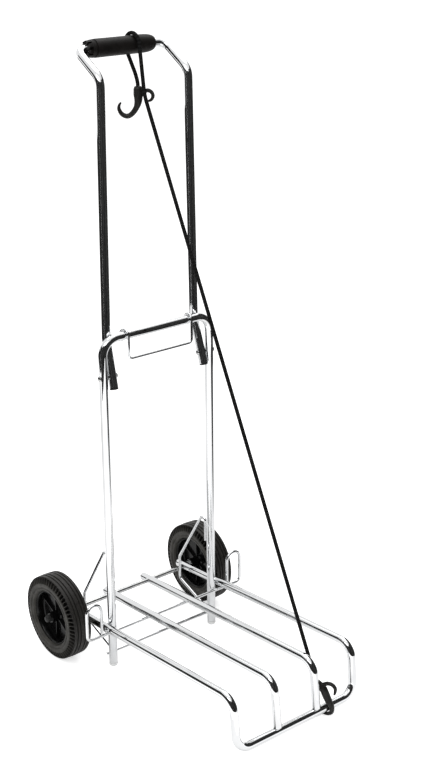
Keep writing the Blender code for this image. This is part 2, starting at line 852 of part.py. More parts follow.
def grip_turn():
    """The points where the cord lies on the grip, from the front over the top to below."""
    ring = GRIP_R + CORD_R + SEAT
    steps = 14
    turn = []
    for index in range(steps + 1):
        share = index / steps
        angle = math.radians(CORD_TURN_START + (CORD_TURN_END - CORD_TURN_START) * share)
        x = CORD_TURN_X - CORD_TURN_DRIFT * share
        turn.append(Vector((x, GRIP_Y + ring * math.cos(angle), GRIP_Z + ring * math.sin(angle))))
    return turn


def evenly(start, end, spacing):
    """Points from start up to, but without, end."""
    count = max(2, round((end - start).length / spacing))
    return [start.lerp(end, index / count) for index in range(count)]


def cord_paths():
    """The lower and the upper stretch of the cord, with a small gap where they meet."""
    start, clip, end = cord_corners()
    split = start.lerp(clip, CORD_SPLIT)
    along = (clip - start).normalized()
    turn = grip_turn()
    lower = evenly(start, split, 9 * CORD_R) + [split - along * SEAT / 2]
    upper = evenly(split + along * SEAT / 2, clip, 9 * CORD_R)
    bend = [clip - along * 0.010, clip, clip.lerp(turn[0], 0.15)]
    upper = [place for place in upper if (place - clip).length > 0.018] + smooth_corner(bend)
    upper += evenly(clip.lerp(turn[0], 0.3), turn[0], 6 * CORD_R) + turn
    above = end + Vector((0.0, 0.0, 3 * CORD_R))
    last = smooth_corner([above.lerp(turn[-1], 0.3), above, end])
    upper += evenly(turn[-1], last[0], 5 * CORD_R)[1:] + last
    return lower, upper


def smooth_corner(corner):
    """Three points as a short smooth bend."""
    first, middle, last = corner
    return interpolate_bezier(first, first.lerp(middle, 0.6), last.lerp(middle, 0.6), last, 5)


def cord(name, path, rubber):
    """One stretch of the cord, as a bevelled curve."""
    curve = bpy.data.curves.new(name, "CURVE")
    curve.dimensions = "3D"
    curve.bevel_depth = CORD_R
    curve.bevel_resolution = 2
    curve.use_fill_caps = True
    spline = curve.splines.new("POLY")
    spline.points.add(len(path) - 1)
    for point, place in zip(spline.points, path):
        point.co = (*place, 1.0)
    curve.materials.append(rubber)
    piece = bpy.data.objects.new(name, curve)
    bpy.context.scene.collection.objects.link(piece)
    return piece


def build():
    """Make every piece and hang it on its axis."""
    clear_scene()
    chrome = finish("chrome", (0.82, 0.83, 0.84), 1.0, 0.12)
    steel = finish("zinc_steel", (0.62, 0.63, 0.64), 1.0, 0.30)
    tyre_rubber = finish("tyre_rubber", (0.030, 0.030, 0.028), 0.0, 0.70)
    wheel_plastic = finish("wheel_plastic", (0.012, 0.012, 0.012), 0.0, 0.38)
    grip_rubber = finish("grip_rubber", (0.016, 0.015, 0.015), 0.0, 0.55)
    hook_plastic = finish("hook_plastic", (0.012, 0.012, 0.012), 0.0, 0.42)
    cord_cover = finish("cord_cover", (0.014, 0.014, 0.014), 0.0, 0.80)
    cap_plastic = finish("cap_plastic", (0.55, 0.55, 0.54), 0.0, 0.45)
    plug_plastic = finish("plug_plastic", (0.020, 0.020, 0.020), 0.0, 0.50)

    base = axis_empty("frame_origin", (0.0, 0.0, 0.0))
    platform_axis = axis_empty("platform_axis", (0.0, AXLE_Y, AXLE_Z))
    handle_axis = axis_empty("handle_axis", (0.0, LEG_Y, PIN_Z))
    bail_axis = axis_empty("bail_axis", (0.0, LEG_Y, CROSSBAR_Z))

    lower_cord, upper_cord = cord_paths()
    on_frame = [
        lower_frame(chrome),
        axle(steel),
        lower_cross_wire(chrome),
        rack_wire(chrome),
        cord("bungee_cord_lower", lower_cord, cord_cover),
    ]
    on_frame += foot_caps(cap_plastic) + axle_washers(steel) + axle_caps(plug_plastic)
    on_frame += handle_pivots(steel) + pivot_washers(steel)
    on_platform = [platform_frame(chrome)] + platform_rivets(steel)
    for word, side in SIDES.items():
        on_frame.append(axle_bracket(word, side, chrome))
        on_platform.append(platform_bar(word, side, chrome))
        spin_axis = axis_empty(f"wheel_axis_{word}", (side * WHEEL_X, AXLE_Y, AXLE_Z))
        carried(tyre(word, side, tyre_rubber), spin_axis)
        carried(wheel(word, side, wheel_plastic), spin_axis)
    on_platform.append(hook("hook_lower", lower_hook_plane(), LOWER_BODY, LOWER_CLIP, hook_plastic))
    on_handle = [
        handle_tube(chrome),
        grip(grip_rubber),
        hook("hook_upper", upper_hook_plane(), UPPER_BODY, UPPER_CLIP, hook_plastic),
        cord("bungee_cord_upper", upper_cord, cord_cover),
    ]
    on_handle += stub_plugs(plug_plastic)
    groups = ((on_frame, base), (on_platform, platform_axis), (on_handle, handle_axis))
    for pieces, empty in groups:
        for piece in pieces:
            carried(piece, empty)
    carried(bail(chrome), bail_axis)


build()
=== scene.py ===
"""Folding utility cart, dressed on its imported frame: chrome tubes, rubber tyres, hooks and elastic cord."""
import logging
import math
from dataclasses import dataclass, field
from enum import Enum
from functools import cache, cached_property
from typing import Callable, Sequence

import bpy
from mathutils import Matrix, Vector
from mathutils.geometry import interpolate_bezier


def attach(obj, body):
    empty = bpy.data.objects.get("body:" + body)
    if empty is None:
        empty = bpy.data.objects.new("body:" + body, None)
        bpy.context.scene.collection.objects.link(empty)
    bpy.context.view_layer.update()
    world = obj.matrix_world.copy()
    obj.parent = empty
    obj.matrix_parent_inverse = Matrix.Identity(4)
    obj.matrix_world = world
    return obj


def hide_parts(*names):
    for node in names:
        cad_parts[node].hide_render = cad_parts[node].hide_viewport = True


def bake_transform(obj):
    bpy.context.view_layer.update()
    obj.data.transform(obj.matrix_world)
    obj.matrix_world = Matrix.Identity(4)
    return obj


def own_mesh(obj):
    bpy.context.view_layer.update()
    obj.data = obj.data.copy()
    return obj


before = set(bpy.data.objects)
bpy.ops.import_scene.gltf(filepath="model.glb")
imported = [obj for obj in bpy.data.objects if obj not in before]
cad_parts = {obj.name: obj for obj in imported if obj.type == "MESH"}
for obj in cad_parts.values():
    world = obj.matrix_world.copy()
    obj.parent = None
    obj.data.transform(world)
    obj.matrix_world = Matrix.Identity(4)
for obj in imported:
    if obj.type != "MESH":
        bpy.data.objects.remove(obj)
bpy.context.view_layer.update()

LOG = logging.getLogger("folding_cart")

Point = tuple[float, float, float]
Colour = tuple[float, float, float]
Corner = tuple[Sequence[float], float]
Range = tuple[float, float]
Outline = list[tuple[float, float]]
Shares = Sequence[tuple[float, float]]
Piece = bpy.types.Object
Socket = bpy.types.NodeSocket
Inputs = dict[str | int, object]

ORIGIN = (0.0, 0.0, 0.0)
UP = (0.0, 0.0, 1.0)
WHITE = (1.0, 1.0, 1.0, 1.0)
MILLIMETRE = 0.001

# Levels of finer noise, from a soft drift to fine speckles
SMOOTH, SOFT, CLOUDY, SPECKLED = 1.0, 2.0, 4.0, 5.0


class Side(Enum):
    """The two sides of the cart, with their sign along X."""

    LEFT = -1
    RIGHT = 1

    @property
    def word(self) -> str:
        """The side's name as the nodes write it."""
        return self.name.lower()


class Body(Enum):
    """The moving bodies that pieces ride on."""

    FRAME = "frame"
    HANDLE = "handle"
    PLATFORM = "platform"
    BAIL = "bail"
    WHEEL_LEFT = "wheel_left"
    WHEEL_RIGHT = "wheel_right"


class Slot(Enum):
    """The material slots of the record."""

    CHROME_TUBE = "chrome_tube"
    CHROME_WIRE = "chrome_wire"
    ZINC_STEEL = "zinc_steel"
    TYRE_RUBBER = "tyre_rubber"
    WHEEL_PLASTIC = "wheel_plastic"
    GRIP_RUBBER = "grip_rubber"
    HOOK_PLASTIC = "hook_plastic"
    CORD_COVER = "cord_cover"
    CAP_PLASTIC = "cap_plastic"
    PLUG_PLASTIC = "plug_plastic"


@dataclass(frozen=True)
class Sizes:
    """The cart's sizes in metres, as the part has them, and the places that they give."""

    tube: float = 0.0070
    bar: float = 0.0068
    axle: float = 0.0040
    wire: float = 0.0025
    bail_wire: float = 0.0020
    cord: float = 0.0030
    bore: float = 0.0055
    seat: float = 0.0003
    running: float = 0.0004
    stop_gap: float = 0.0012
    wheel: float = 0.0712
    wheel_x: float = 0.1505
    hub_in: float = 0.0215
    hub_out: float = 0.0175
    leg_x: float = 0.105
    crossbar_z: float = 0.560
    axle_back: float = 0.088
    outer_bar_x: float = 0.1200
    inner_bar_x: float = 0.0400
    reach: float = 0.4140
    top_reach: float = 0.4060
    platform_z: float = 0.0960
    front_bar_z: float = 0.0125
    pin_z: float = 0.500
    kink_x: float = 0.0865
    kink_z: float = 0.556
    stub_end_x: float = 0.0893
    stub_below_pin: float = 0.0190
    stub_cap: float = 0.0022
    grip_back: float = 0.0715
    grip_z: float = 0.985
    grip_radius: float = 0.0140
    axle_y: float = (reach + bar - wheel) / 2
    leg_y: float = axle_y - axle_back
    front_y: float = axle_y - reach
    handle_y: float = leg_y + 2 * tube + stop_gap
    grip_y: float = leg_y + grip_back
    behind_leg_y: float = leg_y + tube + wire + seat
    before_leg_y: float = leg_y - tube - wire - seat
    slope: float = (platform_z - wheel) / top_reach
    pin_share: float = (kink_z - pin_z) / (kink_z - (pin_z - stub_below_pin))
    pin_x: float = kink_x + (stub_end_x - kink_x) * pin_share

    def bar_height(self, y: float) -> float:
        """The height of a platform tube's centre at a place along Y."""
        return self.wheel + self.slope * (self.axle_y - y)


S = Sizes()


class NodeSheet:
    """The nodes of one material or sky, added and linked step by step."""

    def __init__(self, owner: bpy.types.ID, shader: str = "Principled BSDF") -> None:
        """Start on an owner's nodes.

        Args:
            owner: The material or sky.
            shader: The name of its shader node.
        """
        owner.use_nodes = True
        self.owner = owner
        self.shader = owner.node_tree.nodes[shader]

    @cached_property
    def place(self) -> Socket:
        """The object's own coordinates."""
        return self.add("TexCoord").outputs["Object"]

    def fill(self, node: bpy.types.Node, inputs: Inputs) -> None:
        """Link each input to a socket, or give it its value.

        Args:
            node: The node.
            inputs: The socket or value for each input.
        """
        for key, value in inputs.items():
            if isinstance(value, Socket):
                self.owner.node_tree.links.new(value, node.inputs[key])
            else:
                node.inputs[key].default_value = value

    def shade(self, inputs: Inputs) -> None:
        """Fill inputs of the shader."""
        self.fill(self.shader, inputs)

    def add(self, kind: str, inputs: Inputs | None = None, **settings: object) -> bpy.types.Node:
        """Add a node.

        Args:
            kind: Blender's name of the node, without its first two words.
            inputs: The socket or value for each input.
            settings: Values for the node's own settings.

        Returns:
            The node.
        """
        node = self.owner.node_tree.nodes.new("ShaderNode" + kind)
        for key, value in settings.items():
            setattr(node, key, value)
        self.fill(node, inputs or {})
        return node

    def noise(self, scale: float, detail: float, vector: Socket | None = None) -> Socket:
        """A noise value with so many cells in a metre, on the object's coordinates or on others."""
        inputs = {"Scale": scale, "Detail": detail, "Vector": vector or self.place}
        return self.add("TexNoise", inputs).outputs[0]

    def ranged(self, value: Socket, low: float, high: float, span: Range = (0.3, 0.7)) -> Socket:
        """A value moved from a span of it to the range from low to high."""
        inputs = {"Value": value, "From Min": span[0], "From Max": span[1], "To Min": low, "To Max": high}
        return self.add("MapRange", inputs).outputs[0]

    def maths(self, operation: str, first: Socket, second: Socket | float = 0.0) -> Socket:
        """The result of an operation on one or two values."""
        return self.add("Math", {0: first, 1: second}, operation=operation).outputs[0]

    def ramp(self, value: Socket, dark: Colour, light: Colour, edge: float = 0.3) -> Socket:
        """A colour that goes from dark to light.

        Args:
            value: What drives the colour.
            dark: The colour of low values.
            light: The colour of high values.
            edge: How far from 0 the dark ends, and from 1 the light begins.

        Returns:
            The colour.
        """
        node = self.add("ValToRGB", {0: value})
        for element, place, colour in zip(node.color_ramp.elements, (edge, 1.0 - edge), (dark, light)):
            element.position = place
            element.color = (*colour, 1.0)
        return node.outputs[0]


@dataclass(frozen=True)
class Finish:
    """One finish: two colours that drift into each other, a range of gloss, and a grain."""

    name: str
    slot: Slot
    dark: Colour
    light: Colour
    gloss: Range
    metallic: float = 0.0
    drift: float = 40.0
    grain: float = 1400.0
    grain_depth: float = 0.00002
    grain_strength: float = 0.3
    specular: float = 0.5
    edge: float = 0.32
    gloss_drift: float = 2.6

    @cache
    def material(self) -> bpy.types.Material:
        """The finish's material, made once."""
        sheet = NodeSheet(bpy.data.materials.new(self.name))
        sheet.shade({"Metallic": self.metallic, "Specular IOR Level": self.specular})
        sheet.shade({"Base Color": self.colour(sheet), "Roughness": self.sheen(sheet)})
        relief = {"Height": self.height(sheet), "Strength": self.grain_strength, "Distance": self.grain_depth}
        sheet.shade({"Normal": sheet.add("Bump", relief).outputs[0]})
        return sheet.owner

    def colour(self, sheet: NodeSheet) -> Socket:
        """The drifting colour."""
        return sheet.ramp(sheet.noise(self.drift, CLOUDY), self.dark, self.light, self.edge)

    def sheen(self, sheet: NodeSheet) -> Socket:
        """The roughness, which drifts too."""
        return sheet.ranged(sheet.noise(self.gloss_drift * self.drift, SPECKLED), *self.gloss)

    def height(self, sheet: NodeSheet) -> Socket:
        """The height of the grain."""
        return sheet.noise(self.grain, SOFT)


@dataclass(frozen=True)
class ChromeFinish(Finish):
    """Plated tube: almost a mirror, with faint hairlines along the tube and dull specks."""

    metallic: float = 1.0
    hairline: Point = (900.0, 900.0, 14.0)
    hairline_span: Range = (0.58, 0.80)
    speck: float = 420.0
    speck_span: Range = (0.70, 0.84)
    dulling: float = 0.05

    def sheen(self, sheet: NodeSheet) -> Socket:
        """Mirror gloss with hairlines and specks.

        Args:
            sheet: The material's nodes.

        Returns:
            The roughness.
        """
        along = sheet.add("Mapping", {"Vector": sheet.place, "Scale": self.hairline}).outputs[0]
        lines = sheet.ranged(sheet.noise(1.0, SOFT, along), 0.0, self.dulling, self.hairline_span)
        specks = sheet.ranged(sheet.noise(self.speck, CLOUDY), 0.0, self.dulling, self.speck_span)
        wiped = sheet.ranged(sheet.noise(self.drift, SPECKLED), *self.gloss)
        return sheet.maths("ADD", sheet.maths("ADD", wiped, lines), specks)


@dataclass(frozen=True)
class TyreFinish(Finish):
    """Tyre rubber: a greyer dusty face, a darker tread, painted black shade in the gaps between the lugs, and
    a fine moulded grain.
    """

    edge: float = 0.3
    tread: Colour = (0.017, 0.0158, 0.0145)
    # Black painted into the gaps between the lugs, as their shade.
    gap: Colour = (0.001, 0.001, 0.001)
    tread_from: float = 0.86
    tread_full: float = 0.93
    dust: float = 160.0
    dust_range: Range = (0.75, 1.0)

    def colour(self, sheet: NodeSheet) -> Socket:
        """Dusty sidewalls, a darker tread and painted black shade in the gaps between the lugs.

        Args:
            sheet: The material's nodes.

        Returns:
            The colour.
        """
        centred = sheet.add("Mapping", {"Vector": sheet.place, "Location": (0.0, -S.axle_y, -S.wheel)})
        apart = sheet.add("SeparateXYZ", {0: centred.outputs[0]}).outputs
        squares = [sheet.maths("MULTIPLY", apart[axis], apart[axis]) for axis in "YZ"]
        radius = sheet.maths("POWER", sheet.maths("ADD", *squares), 0.5)
        worn = sheet.ranged(radius, 0.0, 1.0, (self.tread_from * S.wheel, self.tread_full * S.wheel))
        worn = sheet.maths("MULTIPLY", worn, sheet.ranged(sheet.noise(self.dust, SPECKLED), *self.dust_range))
        shade = super().colour(sheet)
        # The points between the lugs take the painted black shade.
        hollow = sheet.add("Attribute", attribute_name="hollow").outputs["Fac"]
        for share, colour in ((worn, self.tread), (hollow, self.gap)):
            shade = sheet.add("Mix", {0: share, 6: shade, 7: (*colour, 1.0)}, data_type="RGBA").outputs[2]
        return shade


@dataclass(frozen=True)
class BraidFinish(Finish):
    """Braided cord cover: crossed yarns that follow the cord, dull black, with painted shade in the gaps
    between the yarns and lighter yarn tops.
    """

    edge: float = 0.1
    around: float = 8.0
    pitch: float = 0.0052
    worn: Range = (0.6, 1.0)

    def height(self, sheet: NodeSheet) -> Socket:
        """The height of the crossed yarns.

        Args:
            sheet: The material's nodes.

        Returns:
            A height from 0 to 1.
        """
        run = sheet.add("SeparateXYZ", {0: sheet.add("UVMap", uv_map="run").outputs[0]}).outputs
        turned = sheet.maths("MULTIPLY", run["X"], math.tau * self.around)
        along = sheet.maths("MULTIPLY", run["Y"], math.tau / self.pitch * 0.5)
        one, other = (sheet.maths("SINE", sheet.maths(way, turned, along)) for way in ("ADD", "SUBTRACT"))
        return sheet.ranged(sheet.maths("MULTIPLY", one, other), 0.0, 1.0, (-1.0, 1.0))

    def colour(self, sheet: NodeSheet) -> Socket:
        """Painted shade in the gaps between the yarns, and lighter yarn tops."""
        worn = sheet.ranged(sheet.noise(self.drift, CLOUDY), *self.worn)
        # The colour follows the yarn height: the gaps between the yarns are painted dark, as shade.
        return sheet.ramp(sheet.maths("MULTIPLY", self.height(sheet), worn), self.dark, self.light, self.edge)


CHROME = ChromeFinish(
    "polished_chrome", Slot.CHROME_TUBE, (0.74, 0.75, 0.76), (0.81, 0.815, 0.82), (0.02, 0.06),
    drift=18.0, grain=260.0, grain_depth=0.00001, grain_strength=0.05,
)
WIRE_CHROME = ChromeFinish(
    "polished_wire", Slot.CHROME_WIRE, (0.70, 0.71, 0.72), (0.79, 0.795, 0.80), (0.03, 0.08),
    drift=30.0, grain=420.0, grain_depth=0.00001, grain_strength=0.08,
)
ZINC = Finish(
    "zinc_plate", Slot.ZINC_STEEL, (0.48, 0.49, 0.50), (0.66, 0.66, 0.65), (0.10, 0.24),
    metallic=1.0, drift=90.0, grain=900.0,
)
TYRE = TyreFinish(
    "worn_tyre", Slot.TYRE_RUBBER, (0.022, 0.021, 0.018), (0.056, 0.053, 0.047), (0.36, 0.52),
    drift=60.0, grain=2200.0, specular=0.22,
)
RIM = Finish(
    "moulded_rim", Slot.WHEEL_PLASTIC, (0.0015, 0.0015, 0.0015), (0.004, 0.004, 0.004), (0.14, 0.26),
    drift=55.0, grain=1800.0, grain_depth=0.00001, grain_strength=0.15, specular=0.22,
)
GRIP = Finish(
    "moulded_grip", Slot.GRIP_RUBBER, (0.005, 0.0043, 0.0039), (0.0095, 0.0081, 0.0074), (0.36, 0.50),
    drift=45.0, grain=1500.0, grain_depth=0.00003, grain_strength=0.4, specular=0.14,
)
HOOK = Finish(
    "moulded_hook", Slot.HOOK_PLASTIC, (0.010, 0.0092, 0.0085), (0.024, 0.0225, 0.021), (0.26, 0.42),
    drift=70.0, grain=1900.0, specular=0.20,
)
BRAID = BraidFinish(
    "braided_cover", Slot.CORD_COVER, (0.003, 0.003, 0.003), (0.020, 0.020, 0.020), (0.62, 0.82),
    drift=50.0, grain_depth=0.00025, grain_strength=0.9, specular=0.03,
)
CAP = Finish(
    "moulded_cap", Slot.CAP_PLASTIC, (0.78, 0.79, 0.79), (0.86, 0.86, 0.85), (0.34, 0.50),
    drift=120.0, grain=1600.0, grain_strength=0.2,
)
PLUG = Finish(
    "moulded_plug", Slot.PLUG_PLASTIC, (0.010, 0.010, 0.010), (0.026, 0.026, 0.026), (0.36, 0.52),
    drift=150.0, grain=1800.0, specular=0.3,
)


def rounded_path(corners: Sequence[Corner]) -> list[Vector]:
    """Points along straight runs with an arc at each corner.

    Args:
        corners: Each corner's point and bend radius.

    Returns:
        The points of the path.
    """
    places = [Vector(place) for place, _ in corners]
    path = [places[0]]
    for before, corner, after, (_, radius) in zip(places, places[1:], places[2:], corners[1:]):
        path += corner_arc(before, corner, after, radius)
    return path + [places[-1]]


def corner_arc(before: Vector, corner: Vector, after: Vector, radius: float, steps: int = 14) -> list[Vector]:
    """The points of the arc that rounds one corner.

    Args:
        before: The corner before.
        corner: The corner.
        after: The corner after.
        radius: The bend radius.
        steps: How many steps a bend of 90 degrees has.

    Returns:
        The arc's points.
    """
    into = (corner - before).normalized()
    away = (after - corner).normalized()
    turn = into.angle(away)
    middle = corner + (away - into).normalized() * radius / math.cos(turn / 2)
    start = corner - into * radius * math.tan(turn / 2) - middle
    axis = into.cross(away).normalized()
    fewest = 3
    count = max(fewest, round(steps * turn / math.radians(90.0)))
    return [middle + Matrix.Rotation(turn * k / count, 3, axis) @ start for k in range(count + 1)]


def mirrored(place: Sequence[float], side: Side = Side.LEFT) -> Vector:
    """A point of the right side, or its mirror image on the left."""
    return Vector((side.value * place[0], place[1], place[2]))


def both_sides(right: Sequence[Corner]) -> list[Corner]:
    """The right side's corners from the middle outwards, after their mirror images."""
    return [(mirrored(place), radius) for place, radius in reversed(right)] + list(right)


def across(side: Side, x: float, y: float, z: float) -> Matrix:
    """A placing at a distance x from the middle, whose local Z points outwards along X."""
    turn = Matrix.Rotation(math.radians(90.0 * side.value), 4, "Y")
    return Matrix.Translation((side.value * x, y, z)) @ turn


def towards(place: Vector, direction: Vector) -> Matrix:
    """A placing whose local Z points in a direction."""
    return Matrix.Translation(place) @ direction.to_track_quat("Z", "Y").to_matrix().to_4x4()


def shaped(
    shares: Shares,
    length: float = 1.0,
    radius: float = 1.0,
    start: float = 0.0,
    out: float = 0.0,
) -> Outline:
    """An outline drawn in shares of a length and a radius, from a start along the axis and out from it."""
    return [(start + length * along, out + radius * wide) for along, wide in shares]


def washer(bore: float, radius: float, thick: float, rim: float) -> Outline:
    """The outline of a washer with its rim cut off at an angle."""
    half = [(0.0, bore), (0.0, radius - rim), (rim, radius)]
    return half + [(thick - rim, radius), (thick, radius - rim), (thick, bore)]


class Bench:
    """The modelling moves that the pieces are made with."""

    @staticmethod
    def take(piece: Piece | None = None) -> None:
        """Leave edit mode, and select one piece alone, or nothing.

        Args:
            piece: The piece to select.
        """
        if bpy.context.object and bpy.context.object.mode != "OBJECT":
            bpy.ops.object.mode_set(mode="OBJECT")
        bpy.ops.object.select_all(action="DESELECT")
        if piece:
            piece.select_set(True)
            bpy.context.view_layer.objects.active = piece

    @staticmethod
    def named(name: str) -> Piece:
        """Name the object that an operator has just made.

        Args:
            name: Its name.

        Returns:
            The object.
        """
        piece = bpy.context.object
        piece.name = name
        piece.data.name = name
        return piece

    @staticmethod
    def pick(
        piece: Piece,
        chosen: Callable[[Vector], bool] = lambda place: True,
        faces: bool = False,
    ) -> None:
        """Go to edit mode with the points or faces at chosen places selected.

        Args:
            piece: The piece.
            chosen: Says whether a point or a face's centre is wanted.
            faces: Whether faces are picked.
        """
        Bench.take(piece)
        bpy.context.tool_settings.mesh_select_mode = (not faces, False, faces)
        mesh = piece.data
        for items in (mesh.polygons, mesh.edges, mesh.vertices):
            items.foreach_set("select", [False] * len(items))
        for item in mesh.polygons if faces else mesh.vertices:
            item.select = chosen(item.center if faces else item.co)
        bpy.ops.object.mode_set(mode="EDIT")

    @staticmethod
    def extrude(step: Sequence[float]) -> None:
        """Extrude what is selected, by a step."""
        bpy.ops.mesh.extrude_region_move(TRANSFORM_OT_translate={"value": step})

    @staticmethod
    def resize(x: float, y: float, z: float) -> None:
        """Scale what is selected about the origin."""
        bpy.ops.transform.resize(value=(x, y, z), center_override=ORIGIN)

    @staticmethod
    def seal(piece: Piece, doubles: float = 0.000002) -> None:
        """Merge a piece's doubles and point its faces outwards.

        Args:
            piece: The piece.
            doubles: How near each other points are merged.
        """
        Bench.pick(piece)
        bpy.ops.mesh.remove_doubles(threshold=doubles)
        bpy.ops.mesh.normals_make_consistent(inside=False)
        bpy.ops.object.mode_set(mode="OBJECT")

    @staticmethod
    def smooth(piece: Piece, degrees: float = 38.0) -> None:
        """Shade a piece smooth, with edges sharper than an angle kept."""
        Bench.take(piece)
        bpy.ops.object.shade_smooth_by_angle(angle=math.radians(degrees))

    @staticmethod
    def settle(piece: Piece, placed: Matrix) -> None:
        """Put a piece in its place, and apply the place to its mesh.

        Args:
            piece: The piece.
            placed: Its place.
        """
        Bench.take(piece)
        piece.matrix_world = placed
        bpy.ops.object.transform_apply(location=True, rotation=True, scale=True)

    @staticmethod
    def modify(piece: Piece, kind: str, **settings: object) -> None:
        """Give a piece a modifier and apply it.

        Args:
            piece: The piece.
            kind: Blender's name of the modifier.
            settings: Values for the modifier's settings.
        """
        Bench.take(piece)
        modifier = piece.modifiers.new(kind, kind)
        for key, value in settings.items():
            setattr(modifier, key, value)
        bpy.ops.object.modifier_apply(modifier=modifier.name)

    @staticmethod
    def fuse(piece: Piece, other: Piece) -> None:
        """Join another shape to a piece, which uses the other up."""
        Bench.modify(piece, "BOOLEAN", operation="UNION", solver="EXACT", object=other)
        bpy.data.objects.remove(other, do_unlink=True)

    @staticmethod
    def sweep(
        name: str,
        path: Sequence[Vector],
        radius: float,
        sides: int,
        taper: Sequence[float] | None = None,
    ) -> Piece:
        """A round rod along a path.

        Args:
            name: The piece's name.
            path: The points that it follows.
            radius: Its radius.
            sides: How many sides it has.
            taper: The share of the radius at each point.

        Returns:
            The piece, as a mesh.
        """
        Bench.take()
        bpy.ops.curve.primitive_bezier_curve_add(location=ORIGIN)
        line = bpy.context.object.data
        line.dimensions = "3D"
        line.bevel_depth = radius
        line.bevel_resolution = sides // 2 - 2
        line.use_fill_caps = True
        line.splines.clear()
        spline = line.splines.new("POLY")
        spline.points.add(len(path) - 1)
        for point, place, share in zip(spline.points, path, taper or [1.0] * len(path)):
            point.co = (*place, 1.0)
            point.radius = share
        bpy.ops.object.convert(target="MESH")
        piece = Bench.named(name)
        Bench.seal(piece)
        return piece

    @staticmethod
    def turn(name: str, outline: Outline, placed: Matrix, steps: int, closed: bool = False) -> Piece:
        """A turned piece: an outline drawn point by point and spun about the local Z axis.

        Args:
            name: The piece's name.
            outline: The outline's points, as distance along the axis and radius.
            placed: The piece's place.
            steps: How many steps the spin has.
            closed: Whether the outline closes on itself.

        Returns:
            The piece.
        """
        Bench.take()
        bpy.ops.mesh.primitive_plane_add(size=0.001, location=ORIGIN)
        piece = Bench.named(name)
        bpy.ops.object.mode_set(mode="EDIT")
        bpy.context.tool_settings.mesh_select_mode = (True, False, False)
        bpy.ops.mesh.select_all(action="SELECT")
        bpy.ops.mesh.merge(type="CENTER")
        bpy.ops.transform.translate(value=(outline[0][1], 0.0, outline[0][0]))
        for before, after in zip(outline, outline[1:]):
            Bench.extrude((after[1] - before[1], 0.0, after[0] - before[0]))
        if closed:
            ends = [Vector((radius, 0.0, along)) for along, radius in (outline[0], outline[-1])]
            touching = 0.000005
            Bench.pick(piece, lambda place: min((place - end).length for end in ends) < touching)
            bpy.ops.mesh.edge_face_add()
        bpy.ops.mesh.select_all(action="SELECT")
        bpy.ops.mesh.spin(steps=steps, angle=math.tau, center=ORIGIN, axis=UP)
        Bench.seal(piece)
        Bench.settle(piece, placed)
        Bench.seal(piece)
        Bench.smooth(piece)
        return piece

    @staticmethod
    def hollow(piece: Piece, end: Vector, inwards: Vector, wall: float, depth: float) -> None:
        """Open a tube's end, with a rounded lip.

        Args:
            piece: The tube.
            end: The centre of its end.
            inwards: The direction into the tube.
            wall: The thickness of its wall.
            depth: How deep it is open.
        """
        lip, rise, near = 0.25, 0.15, 0.0004
        Bench.pick(piece, lambda place: (place - end).length < near, faces=True)
        bpy.ops.mesh.inset(thickness=lip * wall)
        bpy.ops.transform.translate(value=-inwards * rise * wall)
        bpy.ops.mesh.inset(thickness=(1.0 - lip) * wall)
        Bench.extrude(inwards * depth)
        Bench.take(piece)


def hand_over(piece: Piece, finish: Finish, body: Body | None, node: str = "") -> Piece:
    """Dress a finished piece, put it on its body, hide the CAD node that it stands for and log it.

    Args:
        piece: The piece.
        finish: Its finish.
        body: The body that it rides on, or None for a piece that rides on no body.
        node: The CAD node that it stands for, if that isn't its name without the last word.

    Returns:
        The piece.
    """
    piece.data.materials.clear()
    piece.data.materials.append(finish.material())
    if body:
        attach(piece, body.value)
    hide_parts(node or piece.name.rsplit("_", 1)[0])
    rides = body.value if body else "the two bodies of its joint"
    LOG.info("%s: %d points, on %s", piece.name, len(piece.data.vertices), rides)
    return piece


def bent_wire(
    name: str,
    path: Sequence[Vector],
    body: Body = Body.FRAME,
    node: str = "",
    radius: float = S.wire,
    sides: int = 20,
    ends: float = 0.0004,
) -> None:
    """Make a round wire with rounded ends, and hand it over.

    Args:
        name: The piece's name.
        path: The points that it follows.
        body: The body that it rides on.
        node: The CAD node that it stands for, if that isn't its name without the last word.
        radius: Its radius.
        sides: How many sides it has.
        ends: How wide the rounding of its ends is.
    """
    piece = Bench.sweep(name, path, radius, sides)
    sharp = math.radians(40.0)
    Bench.modify(
        piece, "BEVEL", width=ends, segments=2, limit_method="ANGLE", angle_limit=sharp,
        use_clamp_overlap=True,
    )
    Bench.smooth(piece)
    hand_over(piece, WIRE_CHROME, body, node)


@dataclass(frozen=True)
class PhotoCamera:
    """The camera, where the photograph was taken."""

    place: Point = (-1.2490, -1.5409, 1.2080)
    pitch: float = -19.014
    yaw: float = 37.822
    roll: float = -1.158
    lens: float = 63.79
    sensor: float = 36.0
    shift: tuple[float, float] = (0.0713, -0.0343)

    def build(self) -> None:
        """Make the camera and look through it."""
        data = bpy.data.cameras.new("photo_camera")
        data.lens = self.lens
        data.sensor_width = self.sensor
        data.shift_x, data.shift_y = self.shift
        camera = bpy.data.objects.new("photo_camera", data)
        camera.location = self.place
        aim = Matrix.Identity(3)
        for turn, axis in ((-self.yaw, "Z"), (90.0 + self.pitch, "X"), (self.roll, "Z")):
            aim = aim @ Matrix.Rotation(math.radians(turn), 3, axis)
        camera.rotation_euler = aim.to_euler()
        bpy.context.scene.collection.objects.link(camera)
        bpy.context.scene.camera = camera


